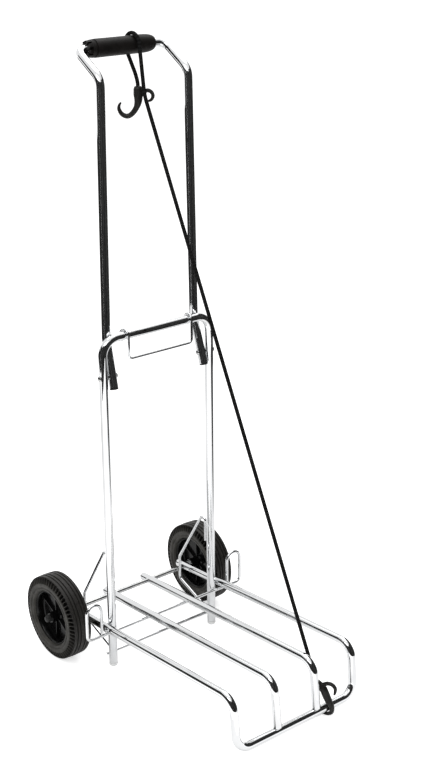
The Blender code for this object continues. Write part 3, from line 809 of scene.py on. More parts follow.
@dataclass(frozen=True)
class HookMould:
    """A moulded plastic hook: a body with a large hook and a small clip hook, in the hook's own plane.

    A limb's points are in millimetres along the level direction and upwards, with the limb's radius there.
    """

    name: str
    place: Point
    level: Point
    body: tuple[Point, ...]
    clip: tuple[Point, ...]
    rides: Body
    steps: int = 7
    socket: float = 0.0115
    ridges: int = 4
    first_ridge: float = 0.0105
    ridge_step: float = 0.0026
    ridge: Shares = ((0.0, 1.0), (0.0006, 1.16), (0.0016, 1.16), (0.0022, 1.0))
    mouth: Shares = ((-0.0003, 0.82), (0.0, 0.0))

    def at(self, u: float, v: float) -> Vector:
        """The point of the hook's plane that lies u millimetres along its level direction and v upwards."""
        return Vector(self.place) + (Vector(self.level) * u + Vector(UP) * v) * MILLIMETRE

    def limb(self, points: Sequence[Point]) -> Piece:
        """One tapering limb, on a smooth curve through its points.

        Args:
            points: The limb's points.

        Returns:
            The limb.
        """
        places = [Vector((u, v, 0.0)) for u, v, _ in points]
        places = [places[0], *places, places[-1]]
        path, radii = [], []
        for index in range(len(points) - 1):
            before, start, end, after = places[index:index + 4]
            bend = (start, start + (end - before) / 6, end - (after - start) / 6, end)
            curve = interpolate_bezier(*bend, self.steps + 1)
            for step in range(self.steps + (index == len(points) - 2)):
                share = step / self.steps
                path.append(self.at(curve[step].x, curve[step].y))
                radii.append(points[index][2] * (1 - share) + points[index + 1][2] * share)
        return Bench.sweep(self.name, path, MILLIMETRE, sides=16, taper=radii)

    def collar(self) -> Piece:
        """The ridged socket that holds the cord's end."""
        top, low = (self.at(u, v) for u, v, _ in self.body[:2])
        radius = self.body[0][2] * MILLIMETRE
        outline = [(-self.socket, 0.0)]
        for ring in range(self.ridges):
            outline += shaped(self.ridge, 1.0, radius, -self.first_ridge + self.ridge_step * ring)
        outline += shaped(self.mouth, 1.0, radius)
        return Bench.turn(self.name + "_collar", outline, towards(top, (top - low).normalized()), steps=28)

    def build(self) -> Piece:
        """Mould the hook as one piece.

        Returns:
            The hook.
        """
        piece = self.limb(self.body)
        Bench.fuse(piece, self.limb(self.clip))
        Bench.fuse(piece, self.collar())
        Bench.modify(piece, "REMESH", mode="VOXEL", voxel_size=0.0005)
        Bench.modify(piece, "SMOOTH", factor=0.6, iterations=2)
        Bench.smooth(piece, degrees=70.0)
        return hand_over(piece, HOOK, self.rides, self.name)


LOWER_TURN, UPPER_TURN = math.radians(25.0), math.radians(40.0)
LOWER_HOOK = HookMould(
    name="hook_lower",
    place=(0.0585, S.front_y, S.front_bar_z),
    level=(-math.sin(LOWER_TURN), math.cos(LOWER_TURN), 0.0),
    body=(
        (16.0, 45.5, 4.2), (14.4, 41.5, 5.4), (9.5, 37.5, 6.0), (3.0, 32.0, 6.2), (-2.0, 21.5, 6.2),
        (-6.6, 12.0, 5.6), (-11.2, 4.0, 4.2), (-11.0, -4.5, 3.6), (-6.0, -9.0, 2.9), (1.0, -9.6, 2.4),
        (7.8, -7.4, 2.2), (11.6, -1.5, 1.6),
    ),
    clip=(
        (5.0, 38.0, 3.4), (-3.3, 43.0, 3.2), (-11.0, 42.8, 3.1), (-16.0, 38.0, 2.9), (-16.2, 31.5, 2.4),
        (-14.8, 26.0, 1.5),
    ),
    rides=Body.PLATFORM,
)
UPPER_HOOK = HookMould(
    name="hook_upper",
    place=(0.0200, S.leg_y + 0.0600, 0.9240),
    level=(math.cos(UPPER_TURN), -math.sin(UPPER_TURN), 0.0),
    body=(
        (0.0, 0.0, 5.0), (0.0, -4.0, 7.0), (0.0, -12.0, 7.3), (0.0, -22.0, 6.2), (-3.0, -32.0, 4.6),
        (-9.5, -41.0, 4.2), (-17.0, -45.0, 4.0), (-25.0, -42.0, 3.6), (-29.5, -34.5, 3.0),
        (-29.0, -28.0, 2.2), (-26.0, -24.0, 1.3),
    ),
    clip=(
        (3.0, -16.0, 3.2), (8.0, -10.0, 3.2), (14.5, -6.5, 3.2), (20.5, -9.5, 3.0), (22.5, -15.5, 2.8),
        (19.5, -21.0, 2.4), (14.5, -22.5, 1.6),
    ),
    rides=Body.HANDLE,
)


@dataclass
class ElasticCord:
    """The elastic cord, in two stretches, from the lower hook round the grip to the upper hook."""

    clip: Vector = field(default_factory=lambda: Vector((0.0215, S.leg_y + 0.0461, 0.9120)))
    split: float = 0.78
    end_gap: float = 0.0005
    turn_x: float = 0.0205
    turn_drift: float = 0.0010
    turn_from: float = 163.0
    turn_to: float = -27.0
    fold: float = 82.0
    turned: float = 0.35
    before_clip: float = 0.010
    clip_bend: float = 0.15
    past_clip: float = 0.3
    above_hook: float = 3 * S.cord
    lower_steps: int = 30
    upper_steps: int = 44
    short_steps: int = 4
    sides: int = 16

    @staticmethod
    def run(first: Vector, last: Vector, steps: int) -> list[Vector]:
        """The points of a straight run, without its last."""
        return [first.lerp(last, index / steps) for index in range(steps)]

    @staticmethod
    def bend(first: Vector, middle: Vector, last: Vector, pull: float = 0.6, count: int = 7) -> list[Vector]:
        """The points of a short smooth bend that a middle corner pulls towards itself."""
        return interpolate_bezier(first, first.lerp(middle, pull), last.lerp(middle, pull), last, count)

    @staticmethod
    def length(path: Sequence[Vector]) -> float:
        """The length of a path in metres."""
        return sum((after - before).length for before, after in zip(path, path[1:]))

    def start(self) -> Vector:
        """Where the cord leaves the lower hook."""
        top = LOWER_HOOK.at(*LOWER_HOOK.body[0][:2])
        return top + (self.clip - top).normalized() * self.end_gap

    def meeting(self) -> Vector:
        """Where the two stretches meet."""
        return self.start().lerp(self.clip, self.split)

    def round_grip(self, steps: int = 28) -> list[Vector]:
        """The points where the cord lies on the grip.

        Args:
            steps: How many steps the turn has.

        Returns:
            The points.
        """
        ring = S.grip_radius + S.cord + S.seat
        turn = []
        for share in (index / steps for index in range(steps + 1)):
            angle = math.radians(self.turn_from + (self.turn_to - self.turn_from) * share)
            x = self.turn_x - self.turn_drift * share
            turn.append(Vector((x, S.grip_y + ring * math.cos(angle), S.grip_z + ring * math.sin(angle))))
        return turn

    def lower_path(self) -> list[Vector]:
        """The lower stretch, taut from the hook to the meeting point."""
        start, end = self.start(), self.meeting()
        end = end - (end - start).normalized() * S.seat / 2
        return self.run(start, end, self.lower_steps) + [start.lerp(end, 1.0)]

    def upper_path(self) -> list[Vector]:
        """The upper stretch, to the clip, round the grip and down to the upper hook."""
        meeting = self.meeting()
        along = (self.clip - meeting).normalized()
        first = meeting + along * S.seat / 2
        turn = self.round_grip()
        before = self.clip - along * self.before_clip
        path = self.run(first, before, self.upper_steps)
        path += self.bend(before, self.clip, self.clip.lerp(turn[0], self.clip_bend))
        path += self.run(self.clip.lerp(turn[0], self.past_clip), turn[0], self.short_steps) + turn
        end = Vector(UPPER_HOOK.place) + Vector(UP) * self.end_gap
        above = end + Vector(UP) * self.above_hook
        last = self.bend(above.lerp(turn[-1], self.past_clip), above, end)
        return path + self.run(turn[-1], last[0], self.short_steps)[1:] + last

    def tube(self, name: str, path: Sequence[Vector]) -> Piece:
        """A closed tube along a path, with a map that follows it.

        Args:
            name: The piece's name.
            path: The points that it follows.

        Returns:
            The tube.
        """
        sides = self.sides
        points, faces, run = [], [], [0.0]
        for before, after in zip(path, path[1:]):
            run.append(run[-1] + (after - before).length)
        sideways = Vector((1.0, 0.0, 0.0))
        for index, place in enumerate(path):
            ahead = path[min(index + 1, len(path) - 1)] - path[max(index - 1, 0)]
            sideways = (sideways - ahead * (sideways.dot(ahead) / ahead.length_squared)).normalized()
            upright = ahead.normalized().cross(sideways)
            for angle in (math.tau * side / sides for side in range(sides)):
                points.append(place + (sideways * math.cos(angle) + upright * math.sin(angle)) * S.cord)
        for low in range(0, (len(path) - 1) * sides, sides):
            for side in range(sides):
                after = (side + 1) % sides
                faces.append((low + side, low + after, low + sides + after, low + sides + side))
        caps = [tuple(reversed(range(sides))), tuple(range(len(points) - sides, len(points)))]
        mesh = bpy.data.meshes.new(name)
        mesh.from_pydata(points, [], faces + caps)
        layer = mesh.uv_layers.new(name="run")
        for face in mesh.polygons[:len(faces)]:
            for corner, point in zip(face.loop_indices, face.vertices):
                index, side = divmod(point, sides)
                wraps = side == 0 and any(other % sides == sides - 1 for other in face.vertices)
                layer.data[corner].uv = ((side + sides * wraps) / sides, run[index])
        piece = bpy.data.objects.new(name, mesh)
        bpy.context.scene.collection.objects.link(piece)
        Bench.smooth(piece, degrees=60.0)
        return piece

    def follow_platform(self, piece: Piece) -> None:
        """Give the lower stretch a mesh of its own.

        Args:
            piece: The lower stretch.
        """
        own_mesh(piece)

    def build(self, lower_hook: Piece, upper_hook: Piece) -> None:
        """Make both stretches.

        Args:
            lower_hook: The hook at the cord's start; not used.
            upper_hook: The hook at its end; not used.
        """
        path = self.lower_path()
        lower = hand_over(self.tube("bungee_cord_lower_cover", path), BRAID, Body.FRAME)
        self.follow_platform(lower)
        path = self.upper_path()
        upper = hand_over(self.tube("bungee_cord_upper_cover", path), BRAID, None)
        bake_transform(upper)


@dataclass(frozen=True)
class LowerFrame:
    """The lower U tube with its feet and the handle's pivots."""

    bend: float = 0.026
    cap_height: float = 0.0060
    plug: float = 0.0120
    pin: float = 0.0024
    pin_head: float = 0.0043
    head: float = 0.0020
    dome: Shares = ((0.2, 1.0), (0.45, 0.90), (0.75, 0.68), (0.95, 0.35), (1.0, 0.0))
    foot_end: Shares = (
        (0.0, 0.0), (0.0, 0.78), (0.0004, 0.86), (0.0011, 0.94), (0.0022, 0.99), (0.0036, 1.0),
        (0.0044, 1.0), (0.0045, 0.955), (0.0049, 0.955), (0.0050, 1.0),
    )
    plug_end: Shares = ((0.0, 1.0), (0.92, 1.0), (1.0, 0.85), (1.0, 0.0))
    washer_rim: float = 0.15

    def tube(self) -> None:
        """The bent tube, with open feet."""
        low = self.cap_height + S.seat
        right = [((S.leg_x, S.leg_y, S.crossbar_z), self.bend), ((S.leg_x, S.leg_y, low), 0.0)]
        piece = Bench.sweep("lower_frame_tube", rounded_path(both_sides(right)), S.tube, sides=32)
        for side in Side:
            end = Vector((side.value * S.leg_x, S.leg_y, low))
            Bench.hollow(piece, end, Vector(UP), S.tube - S.bore, self.plug + 2 * S.seat)
        Bench.smooth(piece)
        hand_over(piece, CHROME, Body.FRAME)

    def foot(self, side: Side) -> None:
        """A foot cap with a rounded end and a fine groove.

        Args:
            side: The side of the cart.
        """
        spigot = S.bore - S.seat
        outline = shaped(self.foot_end, 1.0, S.tube) + [(self.cap_height, S.tube)]
        outline += shaped(self.plug_end, self.plug, spigot, self.cap_height)
        placed = Matrix.Translation((side.value * S.leg_x, S.leg_y, 0.0))
        piece = Bench.turn(f"foot_cap_{side.word}_moulded", outline, placed, steps=40)
        hand_over(piece, CAP, Body.FRAME)

    def rivet(self, side: Side) -> None:
        """A handle pivot: a rivet with a domed head at each end.

        Args:
            side: The side of the cart.
        """
        inner = S.pin_x - S.tube - S.seat
        length = S.leg_x + S.tube + S.seat - inner
        outline = shaped(self.dome, -self.head, self.pin_head)[::-1]
        outline += [(0.0, self.pin_head), (0.0, self.pin), (length, self.pin), (length, self.pin_head)]
        outline += shaped(self.dome, self.head, self.pin_head, length)
        placed = across(side, inner, S.leg_y, S.pin_z)
        piece = Bench.turn(f"handle_pivot_{side.word}_rivet", outline, placed, steps=32)
        hand_over(piece, ZINC, Body.FRAME)

    def spacer(self, side: Side) -> None:
        """The washer between a leg and the handle.

        Args:
            side: The side of the cart.
        """
        inner = S.pin_x + S.tube + S.seat
        thick = S.leg_x - S.tube - S.seat - inner
        outline = washer(self.pin + S.seat, self.pin_head, thick, self.washer_rim * thick)
        placed = across(side, inner, S.leg_y, S.pin_z)
        piece = Bench.turn(f"pivot_washer_{side.word}_ring", outline, placed, steps=32, closed=True)
        hand_over(piece, ZINC, Body.FRAME)

    def build(self) -> None:
        """Make every piece of the lower frame."""
        self.tube()
        for side in Side:
            self.foot(side)
            self.rivet(side)
            self.spacer(side)


@dataclass(frozen=True)
class RunningGear:
    """The axle with its caps and washers, and the bent wires of the frame."""

    turned_end: float = 0.0005
    cap_bore: float = 0.0050
    cap_radius: float = 0.0058
    cap_length: float = 0.0085
    cap_dome: Shares = ((0.55, 1.0), (0.70, 0.96), (0.84, 0.84), (0.93, 0.66), (0.985, 0.38), (1.0, 0.0))
    washer: float = 0.0085
    washer_rim: float = 0.12
    bracket_x: float = 0.102
    bracket_top: float = 0.196
    bracket_run: float = 0.040
    top_width: float = 2.2
    top_bend: float = 0.9
    elbow_bend: float = 2.0
    reach_high: float = 0.098
    reach_low: float = 0.056
    bracket_foot: float = 0.0275
    cross_z: float = 0.0180
    cross_half: float = 0.1100
    loop_in: float = 0.1325
    loop_out: float = 0.1610
    loop_top: float = 0.1270
    low_bend: float = 0.6

    def axle(self) -> None:
        """The rod from cap to cap, with turned ends."""
        half, turned = S.wheel_x + S.hub_out + self.cap_bore, self.turned_end
        right = [(half - turned, S.axle), (half, S.axle - turned), (half, 0.0)]
        outline = [(-along, radius) for along, radius in reversed(right)] + right
        placed = across(Side.RIGHT, 0.0, S.axle_y, S.wheel)
        hand_over(Bench.turn("axle_rod", outline, placed, steps=32), ZINC, Body.FRAME)

    def cap(self, side: Side) -> None:
        """The domed cap pressed on one end of the axle.

        Args:
            side: The side of the cart.
        """
        bore = S.axle + S.seat
        outline = [(self.cap_bore, 0.0), (self.cap_bore, bore), (0.0, bore), (0.0, self.cap_radius)]
        outline += shaped(self.cap_dome, self.cap_length, self.cap_radius)
        placed = across(side, S.wheel_x + S.hub_out + S.seat, S.axle_y, S.wheel)
        piece = Bench.turn(f"axle_cap_{side.word}_dome", outline, placed, steps=36)
        hand_over(piece, PLUG, Body.FRAME)

    def spacer(self, side: Side) -> None:
        """The washer between a platform tube and a hub.

        Args:
            side: The side of the cart.
        """
        inner = S.outer_bar_x + S.bar + S.seat
        thick = S.wheel_x - S.hub_in - S.seat - inner
        outline = washer(S.axle + S.seat, self.washer, thick, self.washer_rim * thick)
        placed = across(side, inner, S.axle_y, S.wheel)
        piece = Bench.turn(f"axle_washer_{side.word}_ring", outline, placed, steps=36, closed=True)
        hand_over(piece, ZINC, Body.FRAME)

    def bracket(self, side: Side) -> None:
        """The bent wire behind one leg that carries the axle.

        Args:
            side: The side of the cart.
        """
        x = side.value * self.bracket_x
        front = S.behind_leg_y
        reach = S.axle_y - S.axle - S.wire - S.seat
        turn = 2 * S.wire
        corners = [
            ((x, front, self.bracket_top - self.bracket_run), 0.0),
            ((x, front, self.bracket_top), self.top_bend * turn),
            ((x, front + self.top_width * turn, self.bracket_top), self.top_bend * turn),
            ((x, reach, self.reach_high), self.elbow_bend * turn),
            ((x, reach, self.reach_low), self.elbow_bend * turn),
            ((x, front, self.bracket_foot), turn),
            ((x, front, self.cross_z + S.wire + S.seat), 0.0),
        ]
        bent_wire(f"axle_bracket_{side.word}_wire", rounded_path(corners))

    def cross_wire(self) -> None:
        """The straight wire behind both legs."""
        path = [Vector((x, S.behind_leg_y, self.cross_z)) for x in (-self.cross_half, self.cross_half)]
        bent_wire("lower_cross_wire_rod", path, ends=0.0005)

    def rack(self) -> None:
        """The wire across the legs with an upright loop at each side."""
        y = S.before_leg_y
        low = S.wheel + S.slope * (S.axle_y - y) - S.bar * math.hypot(1.0, S.slope) - S.wire - S.seat
        bend = (self.loop_out - self.loop_in) / 2 - S.seat
        right = [
            ((self.loop_out, y, low), self.low_bend * bend),
            ((self.loop_out, y, self.loop_top), bend),
            ((self.loop_in, y, self.loop_top), bend),
            ((self.loop_in, y, low + 2 * S.wire + S.seat), 0.0),
        ]
        bent_wire("rack_wire_loops", rounded_path(both_sides(right)))

    def build(self) -> None:
        """Make every piece of the running gear but the wheels."""
        self.axle()
        self.cross_wire()
        self.rack()
        for side in Side:
            self.cap(side)
            self.spacer(side)
            self.bracket(side)


@dataclass(frozen=True)
class Wheel:
    """A moulded wheel with a solid rubber tyre."""

    side: Side
    half: float = 0.0195
    rim: float = 0.0455
    rim_half: float = 0.0155
    wall: float = 0.0040
    ridge: float = 0.0020
    ridge_half: float = 0.0040
    hub: float = 0.0085
    edge: float = 0.0007
    web: float = 0.0015
    hub_fillet: Shares = ((0.0020, 0.0004), (0.0, 0.0024))
    web_fillet: Shares = ((0.0, -0.0024), (0.0014, -0.0004))
    rim_fillet: Shares = ((-0.0026, 0.0006), (-0.0008, 0.0016), (0.0, 0.0024))
    rib_half: float = 0.0055
    rib_thick: float = 0.0020
    rib_root: float = 0.4
    rib_tip: float = 0.6
    rib_edge: float = 0.55
    rib_flare: float = 1.25
    ribs: int = 6
    bead: float = 0.80
    face: Shares = ((0.92, 1.035), (0.97, 1.055), (0.985, 1.105), (0.945, 1.125), (0.945, 1.165))
    shoulder: Shares = (
        (0.975, 0.750), (1.0, 0.765), (1.0, 0.815), (0.980, 0.832), (0.972, 0.854), (0.966, 0.862),
        (0.945, 0.890), (0.910, 0.922), (0.872, 0.948), (0.845, 0.963), (0.838, 0.969), (0.818, 0.984),
        (0.780, 0.991), (0.570, 0.994), (0.550, 0.966), (0.470, 0.967), (0.450, 0.996), (0.270, 0.998),
        (0.250, 0.968), (0.180, 0.968), (0.160, 1.0),
    )
    lugs: int = 60
    lug_steps: int = 6
    gap_steps: int = 4
    lug_low: float = 0.848
    lug_high: float = 0.975
    lug_from: float = 0.70
    lug_depth: float = 0.0045
    lug_width: float = 0.74

    def placed(self) -> Matrix:
        """The wheel's place."""
        return across(self.side, S.wheel_x, S.axle_y, S.wheel)

    def body(self) -> Body:
        """The body that the wheel rides on."""
        return Body.WHEEL_LEFT if self.side is Side.LEFT else Body.WHEEL_RIGHT

    def tyre_outline(self) -> Outline:
        """The tyre's outline: the bead on the rim, the sidewalls and the grooved tread."""
        seat = self.rim + S.seat
        inside = [(self.bead * self.half, seat), (self.ridge_half + S.seat, seat)]
        inside += [(self.ridge_half, seat + self.ridge)]
        outside = shaped(self.face, self.half, self.rim) + shaped(self.shoulder, self.half, S.wheel)
        other = [(-along, radius) for along, radius in reversed(outside)]
        return [(-along, radius) for along, radius in inside] + inside[::-1] + outside + other

    def tyre(self) -> None:
        """The tyre, with grooves round the tread and short lugs on both shoulders."""
        steps = self.lug_steps * self.lugs
        name = f"tyre_{self.side.word}_moulded"
        piece = Bench.turn(name, self.tyre_outline(), Matrix.Identity(4), steps, closed=True)

        def between_lugs(place: Vector) -> bool:
            """Whether a point lies between two lugs of a shoulder."""
            number = round(math.atan2(place.y, place.x) / (math.tau / steps))
            radius = math.hypot(place.x, place.y)
            on_shoulder = self.lug_low * S.wheel < radius < self.lug_high * S.wheel
            in_gap = number % self.lug_steps < self.gap_steps
            return in_gap and on_shoulder and abs(place.z) > self.lug_from * self.half

        # Marks the points between the lugs, which the tyre's finish paints black, as shade.
        hollow = piece.data.attributes.new("hollow", "FLOAT", "POINT")
        hollow.data.foreach_set("value", [float(between_lugs(point.co)) for point in piece.data.vertices])
        Bench.pick(piece, between_lugs)
        share = 1.0 - self.lug_depth / S.wheel
        Bench.resize(share, share, self.lug_width)
        Bench.settle(piece, self.placed())
        Bench.smooth(piece, degrees=28.0)
        hand_over(piece, TYRE, self.body())

    def rim_outline(self, hub_end: float) -> Outline:
        """One half of the outline of the rim, web and hub.

        Args:
            hub_end: How far the hub reaches on this half.

        Returns:
            The half, from the bore to the ridge under the tyre.
        """
        inside = self.rim - self.wall
        outline = [(hub_end, S.axle + S.running)]
        outline += [(hub_end, self.hub - self.edge), (hub_end - self.edge, self.hub)]
        outline += shaped(self.hub_fillet, start=self.web, out=self.hub)
        outline += shaped(self.web_fillet, start=self.web, out=inside)
        outline += shaped(self.rim_fillet, start=self.rim_half, out=inside)
        outline += [(self.rim_half, self.rim - self.edge), (self.rim_half - self.edge, self.rim)]
        return outline + [(self.ridge_half, self.rim), (self.ridge_half - S.seat, self.rim + self.ridge)]

    def rib(self, index: int) -> Piece:
        """One rib, thinner at its edges, from hub to rim.

        Args:
            index: The rib's number.

        Returns:
            The rib.
        """
        inner = self.hub - self.rib_root * self.wall
        outer = self.rim - self.rib_tip * self.wall
        nearly = 0.9
        Bench.take()
        bpy.ops.mesh.primitive_cube_add(size=1.0, location=((inner + outer) / 2, 0.0, 0.0))
        rib = Bench.named(f"rib_{index}")
        rib.scale = (outer - inner, self.rib_thick, 2 * self.rib_half)
        bpy.ops.object.transform_apply(location=True, rotation=True, scale=True)
        Bench.pick(rib, lambda place: abs(place.z) > nearly * self.rib_half)
        Bench.resize(1.0, self.rib_edge, 1.0)
        Bench.pick(rib, lambda place: place.x > nearly * outer)
        Bench.resize(1.0, 1.0, self.rib_flare)
        Bench.settle(rib, Matrix.Rotation(math.tau * index / self.ribs, 4, "Z"))
        return rib

    def moulding(self) -> None:
        """The rim, web, ribs and hub in one moulding."""
        outline = [(-along, radius) for along, radius in self.rim_outline(S.hub_in)]
        outline += self.rim_outline(S.hub_out)[::-1]
        name = f"wheel_{self.side.word}_moulded"
        piece = Bench.turn(name, outline, Matrix.Identity(4), steps=72, closed=True)
        for index in range(self.ribs):
            Bench.fuse(piece, self.rib(index))
        Bench.settle(piece, self.placed())
        Bench.smooth(piece, degrees=32.0)
        hand_over(piece, RIM, self.body())

    def build(self) -> None:
        """Make the wheel and its tyre."""
        self.tyre()
        self.moulding()


@dataclass(frozen=True)
class Platform:
    """The folding platform: an outer tube with its drop, two inner tubes, and two rivets."""

    bend: float = 0.024
    tail_y: float = S.axle_y + 0.0190
    end_depth: float = 0.0080
    wall: float = 0.25 * S.bar
    foot_lift: float = 1.02 * S.bar
    rivet_back: float = 0.0995
    rivet: float = 0.0022
    rivet_root: float = -0.9 * S.bar
    rivet_head: float = 0.0042
    head: float = 0.0018
    dome: Shares = ((0.25, 1.0), (0.55, 0.86), (0.85, 0.55), (1.0, 0.0))

    def tail(self, x: float) -> Point:
        """The centre of the rear end of a tube at a place across the cart."""
        return (x, self.tail_y, S.bar_height(self.tail_y))

    def side_corners(self, x: float) -> list[Corner]:
        """The corners of a tube at a place across the cart, from its tail to the top of its drop."""
        return [(self.tail(x), 0.0), ((x, S.axle_y - S.top_reach, S.platform_z), self.bend)]

    def bent_tube(self, name: str, corners: Sequence[Corner], tails: Sequence[float]) -> None:
        """Bend a tube, open its tails and hand it over.

        Args:
            name: The piece's name.
            corners: The tube's corners.
            tails: Where its tails are across the cart.
        """
        piece = Bench.sweep(name, rounded_path(corners), S.bar, sides=28)
        inwards = Vector((0.0, -1.0, S.slope)).normalized()
        for x in tails:
            Bench.hollow(piece, Vector(self.tail(x)), inwards, self.wall, self.end_depth)
        Bench.smooth(piece)
        hand_over(piece, CHROME, Body.PLATFORM)

    def outer(self) -> None:
        """The outer tube with both sides, both drops and the front bar."""
        x = S.outer_bar_x
        right = [((x, S.front_y, S.front_bar_z), self.bend), *reversed(self.side_corners(x))]
        self.bent_tube("platform_frame_tube", both_sides(right), (-x, x))

    def inner(self, side: Side) -> None:
        """One inner tube, which bends down to the front bar.

        Args:
            side: The side of the cart.
        """
        x = side.value * S.inner_bar_x
        foot = ((x, S.front_y, S.front_bar_z + self.foot_lift + S.seat), 0.0)
        self.bent_tube(f"platform_bar_{side.word}_tube", self.side_corners(x) + [foot], [x])

    def stud(self, side: Side) -> None:
        """The small round head on the outer tube beside a leg.

        Args:
            side: The side of the cart.
        """
        y = S.axle_y - self.rivet_back
        start, top = self.rivet_root, S.bar + S.seat
        outline = [(start, 0.0), (start, self.rivet), (top, self.rivet), (top, self.rivet_head)]
        outline += shaped(self.dome, self.head, self.rivet_head, top)
        placed = across(side, S.outer_bar_x, y, S.bar_height(y))
        piece = Bench.turn(f"platform_rivet_{side.word}_head", outline, placed, steps=32)
        hand_over(piece, ZINC, Body.PLATFORM)

    def build(self) -> None:
        """Make every piece of the platform."""
        self.outer()
        for side in Side:
            self.inner(side)
            self.stud(side)


@dataclass(frozen=True)
class Handle:
    """The handle: the bent tube, its end plugs and the grip."""

    bend_z: float = 0.948
    top_x: float = 0.0815
    corner: float = 0.0160
    shoulder_bend: float = 0.023
    kink_bend: float = 0.020
    spigot: float = 0.0060
    plug_end: Shares = ((0.0, 0.0), (0.0, 0.80), (0.15, 0.90), (0.40, 0.98), (0.60, 1.0), (1.0, 1.0))
    grip_left: float = -0.0655
    grip_length: float = 0.1250
    teeth: int = 8
    tooth: float = 0.6
    tooth_depth: float = 0.0060
    tooth_tip: float = 0.3
    tooth_taper: float = 0.94
    collar: Shares = (
        (0.0, 0.90), (0.0006, 0.93), (0.0058, 0.97), (0.0062, 0.90), (0.0076, 0.90), (0.0080, 0.985),
    )
    sleeve: Shares = (
        (0.14, 1.0), (0.30, 0.99), (0.60, 0.99), (0.80, 1.0), (0.86, 0.985), (0.90, 0.955), (0.93, 0.915),
        (0.955, 0.86), (0.975, 0.79), (0.99, 0.70), (1.0, 0.60),
    )

    def stub_direction(self) -> Vector:
        """The direction of the right lower end, from its kink to its tip."""
        kink = Vector((S.kink_x, S.handle_y, S.kink_z))
        return (Vector((S.pin_x, S.leg_y, S.pin_z)) - kink).normalized()

    def stub_tip(self) -> Vector:
        """The centre of the tube's right lower end."""
        return Vector((S.pin_x, S.leg_y, S.pin_z)) + self.stub_direction() * S.stub_below_pin

    def tube(self) -> None:
        """The bent tube, open at its lower ends."""
        right = [
            ((self.top_x, S.grip_y, S.grip_z), self.corner),
            ((self.top_x, S.handle_y, self.bend_z), self.shoulder_bend),
            ((S.kink_x, S.handle_y, S.kink_z), self.kink_bend),
            (self.stub_tip(), 0.0),
        ]
        piece = Bench.sweep("handle_bent_tube", rounded_path(both_sides(right)), S.tube, sides=32)
        for side in Side:
            end, inwards = mirrored(self.stub_tip(), side), mirrored(-self.stub_direction(), side)
            Bench.hollow(piece, end, inwards, S.tube - S.bore, self.spigot + 2 * S.seat)
        Bench.smooth(piece)
        hand_over(piece, CHROME, Body.HANDLE, "handle_tube")

    def plug(self, side: Side) -> None:
        """The thin plug in one lower end.

        Args:
            side: The side of the cart.
        """
        spigot, cap = S.bore - S.seat, S.stub_cap
        outline = shaped(self.plug_end, cap, S.tube)
        outline += [(cap, spigot), (cap + self.spigot, spigot), (cap + self.spigot, 0.0)]
        along = mirrored(self.stub_direction(), side)
        placed = towards(mirrored(self.stub_tip(), side) + along * (S.seat + cap), -along)
        piece = Bench.turn(f"stub_plug_{side.word}_moulded", outline, placed, steps=36)
        hand_over(piece, PLUG, Body.HANDLE)

    def grip(self) -> None:
        """The grip: a collar with teeth at its left end, a ring groove, and a rounded right end."""
        bore, start = S.tube + S.seat, self.tooth_depth
        outline = [(start, bore), *shaped(self.collar, 1.0, S.grip_radius, start)]
        outline += [*shaped(self.sleeve, self.grip_length, S.grip_radius), (self.grip_length, bore)]
        piece = Bench.turn("grip_moulded", outline, Matrix.Identity(4), steps=64, closed=True)

        def on_tooth(place: Vector) -> bool:
            """Whether a face of the left end carries a tooth."""
            share = (math.atan2(place.y, place.x) / math.tau * self.teeth) % 1.0
            near = 0.0002
            return abs(place.z - start) < near and share < self.tooth

        Bench.pick(piece, on_tooth, faces=True)
        for share in (1.0 - self.tooth_tip, self.tooth_tip):
            Bench.extrude((0.0, 0.0, -share * start))
        Bench.resize(self.tooth_taper, self.tooth_taper, 1.0)
        Bench.settle(piece, across(Side.RIGHT, self.grip_left, S.grip_y, S.grip_z))
        Bench.smooth(piece, degrees=35.0)
        hand_over(piece, GRIP, Body.HANDLE)

    def build(self) -> None:
        """Make every piece of the handle."""
        self.tube()
        self.grip()
        for side in Side:
            self.plug(side)


@dataclass(frozen=True)
class Bail:
    """The wire bail that hangs from the crossbar."""

    x: float = 0.0620
    drop: float = 0.0360
    bend: float = 0.0060
    wrap: float = 250.0
    wrap_steps: int = 32
    shift: float = 0.0030

    def build(self) -> None:
        """Make the bail with an eye at each end."""
        ring = S.tube + S.bail_wire + S.running
        right = []
        for index in range(self.wrap_steps + 1):
            share = 1 - index / self.wrap_steps
            angle = math.radians(self.wrap * share)
            y = S.leg_y - ring * math.cos(angle)
            right.append(Vector((self.x + self.shift * share, y, S.crossbar_z + ring * math.sin(angle))))
        front, low = S.leg_y - ring, S.crossbar_z - self.drop
        corner = ((self.x, front, S.crossbar_z), (self.x, front, low), (0.0, front, low))
        right += corner_arc(*(Vector(place) for place in corner), self.bend)
        path = right + [mirrored(place) for place in reversed(right)]
        bent_wire("bail_bent_wire", path, Body.BAIL, "bail", radius=S.bail_wire, sides=18)


def stage_grey(
    thing: Piece,
    tones: Range,
    cells: float,
    detail: float,
    rough: float,
    specular: float,
) -> NodeSheet:
    """Give a thing of the studio a grey that drifts softly, and stage it.

    Args:
        thing: The thing.
        tones: Its darkest and lightest grey.
        cells: How many patches a metre has.
        detail: The levels of finer noise.
        rough: Its roughness.
        specular: How much it shines.

    Returns:
        The nodes of its material.
    """
    sheet = NodeSheet(bpy.data.materials.new(thing.name))
    dark, light = ((tone,) * 3 for tone in tones)
    sheet.shade({"Base Color": sheet.ramp(sheet.noise(cells, detail), dark, light)})
    sheet.shade({"Roughness": rough, "Specular IOR Level": specular})
    thing.data.materials.append(sheet.owner)
    return sheet


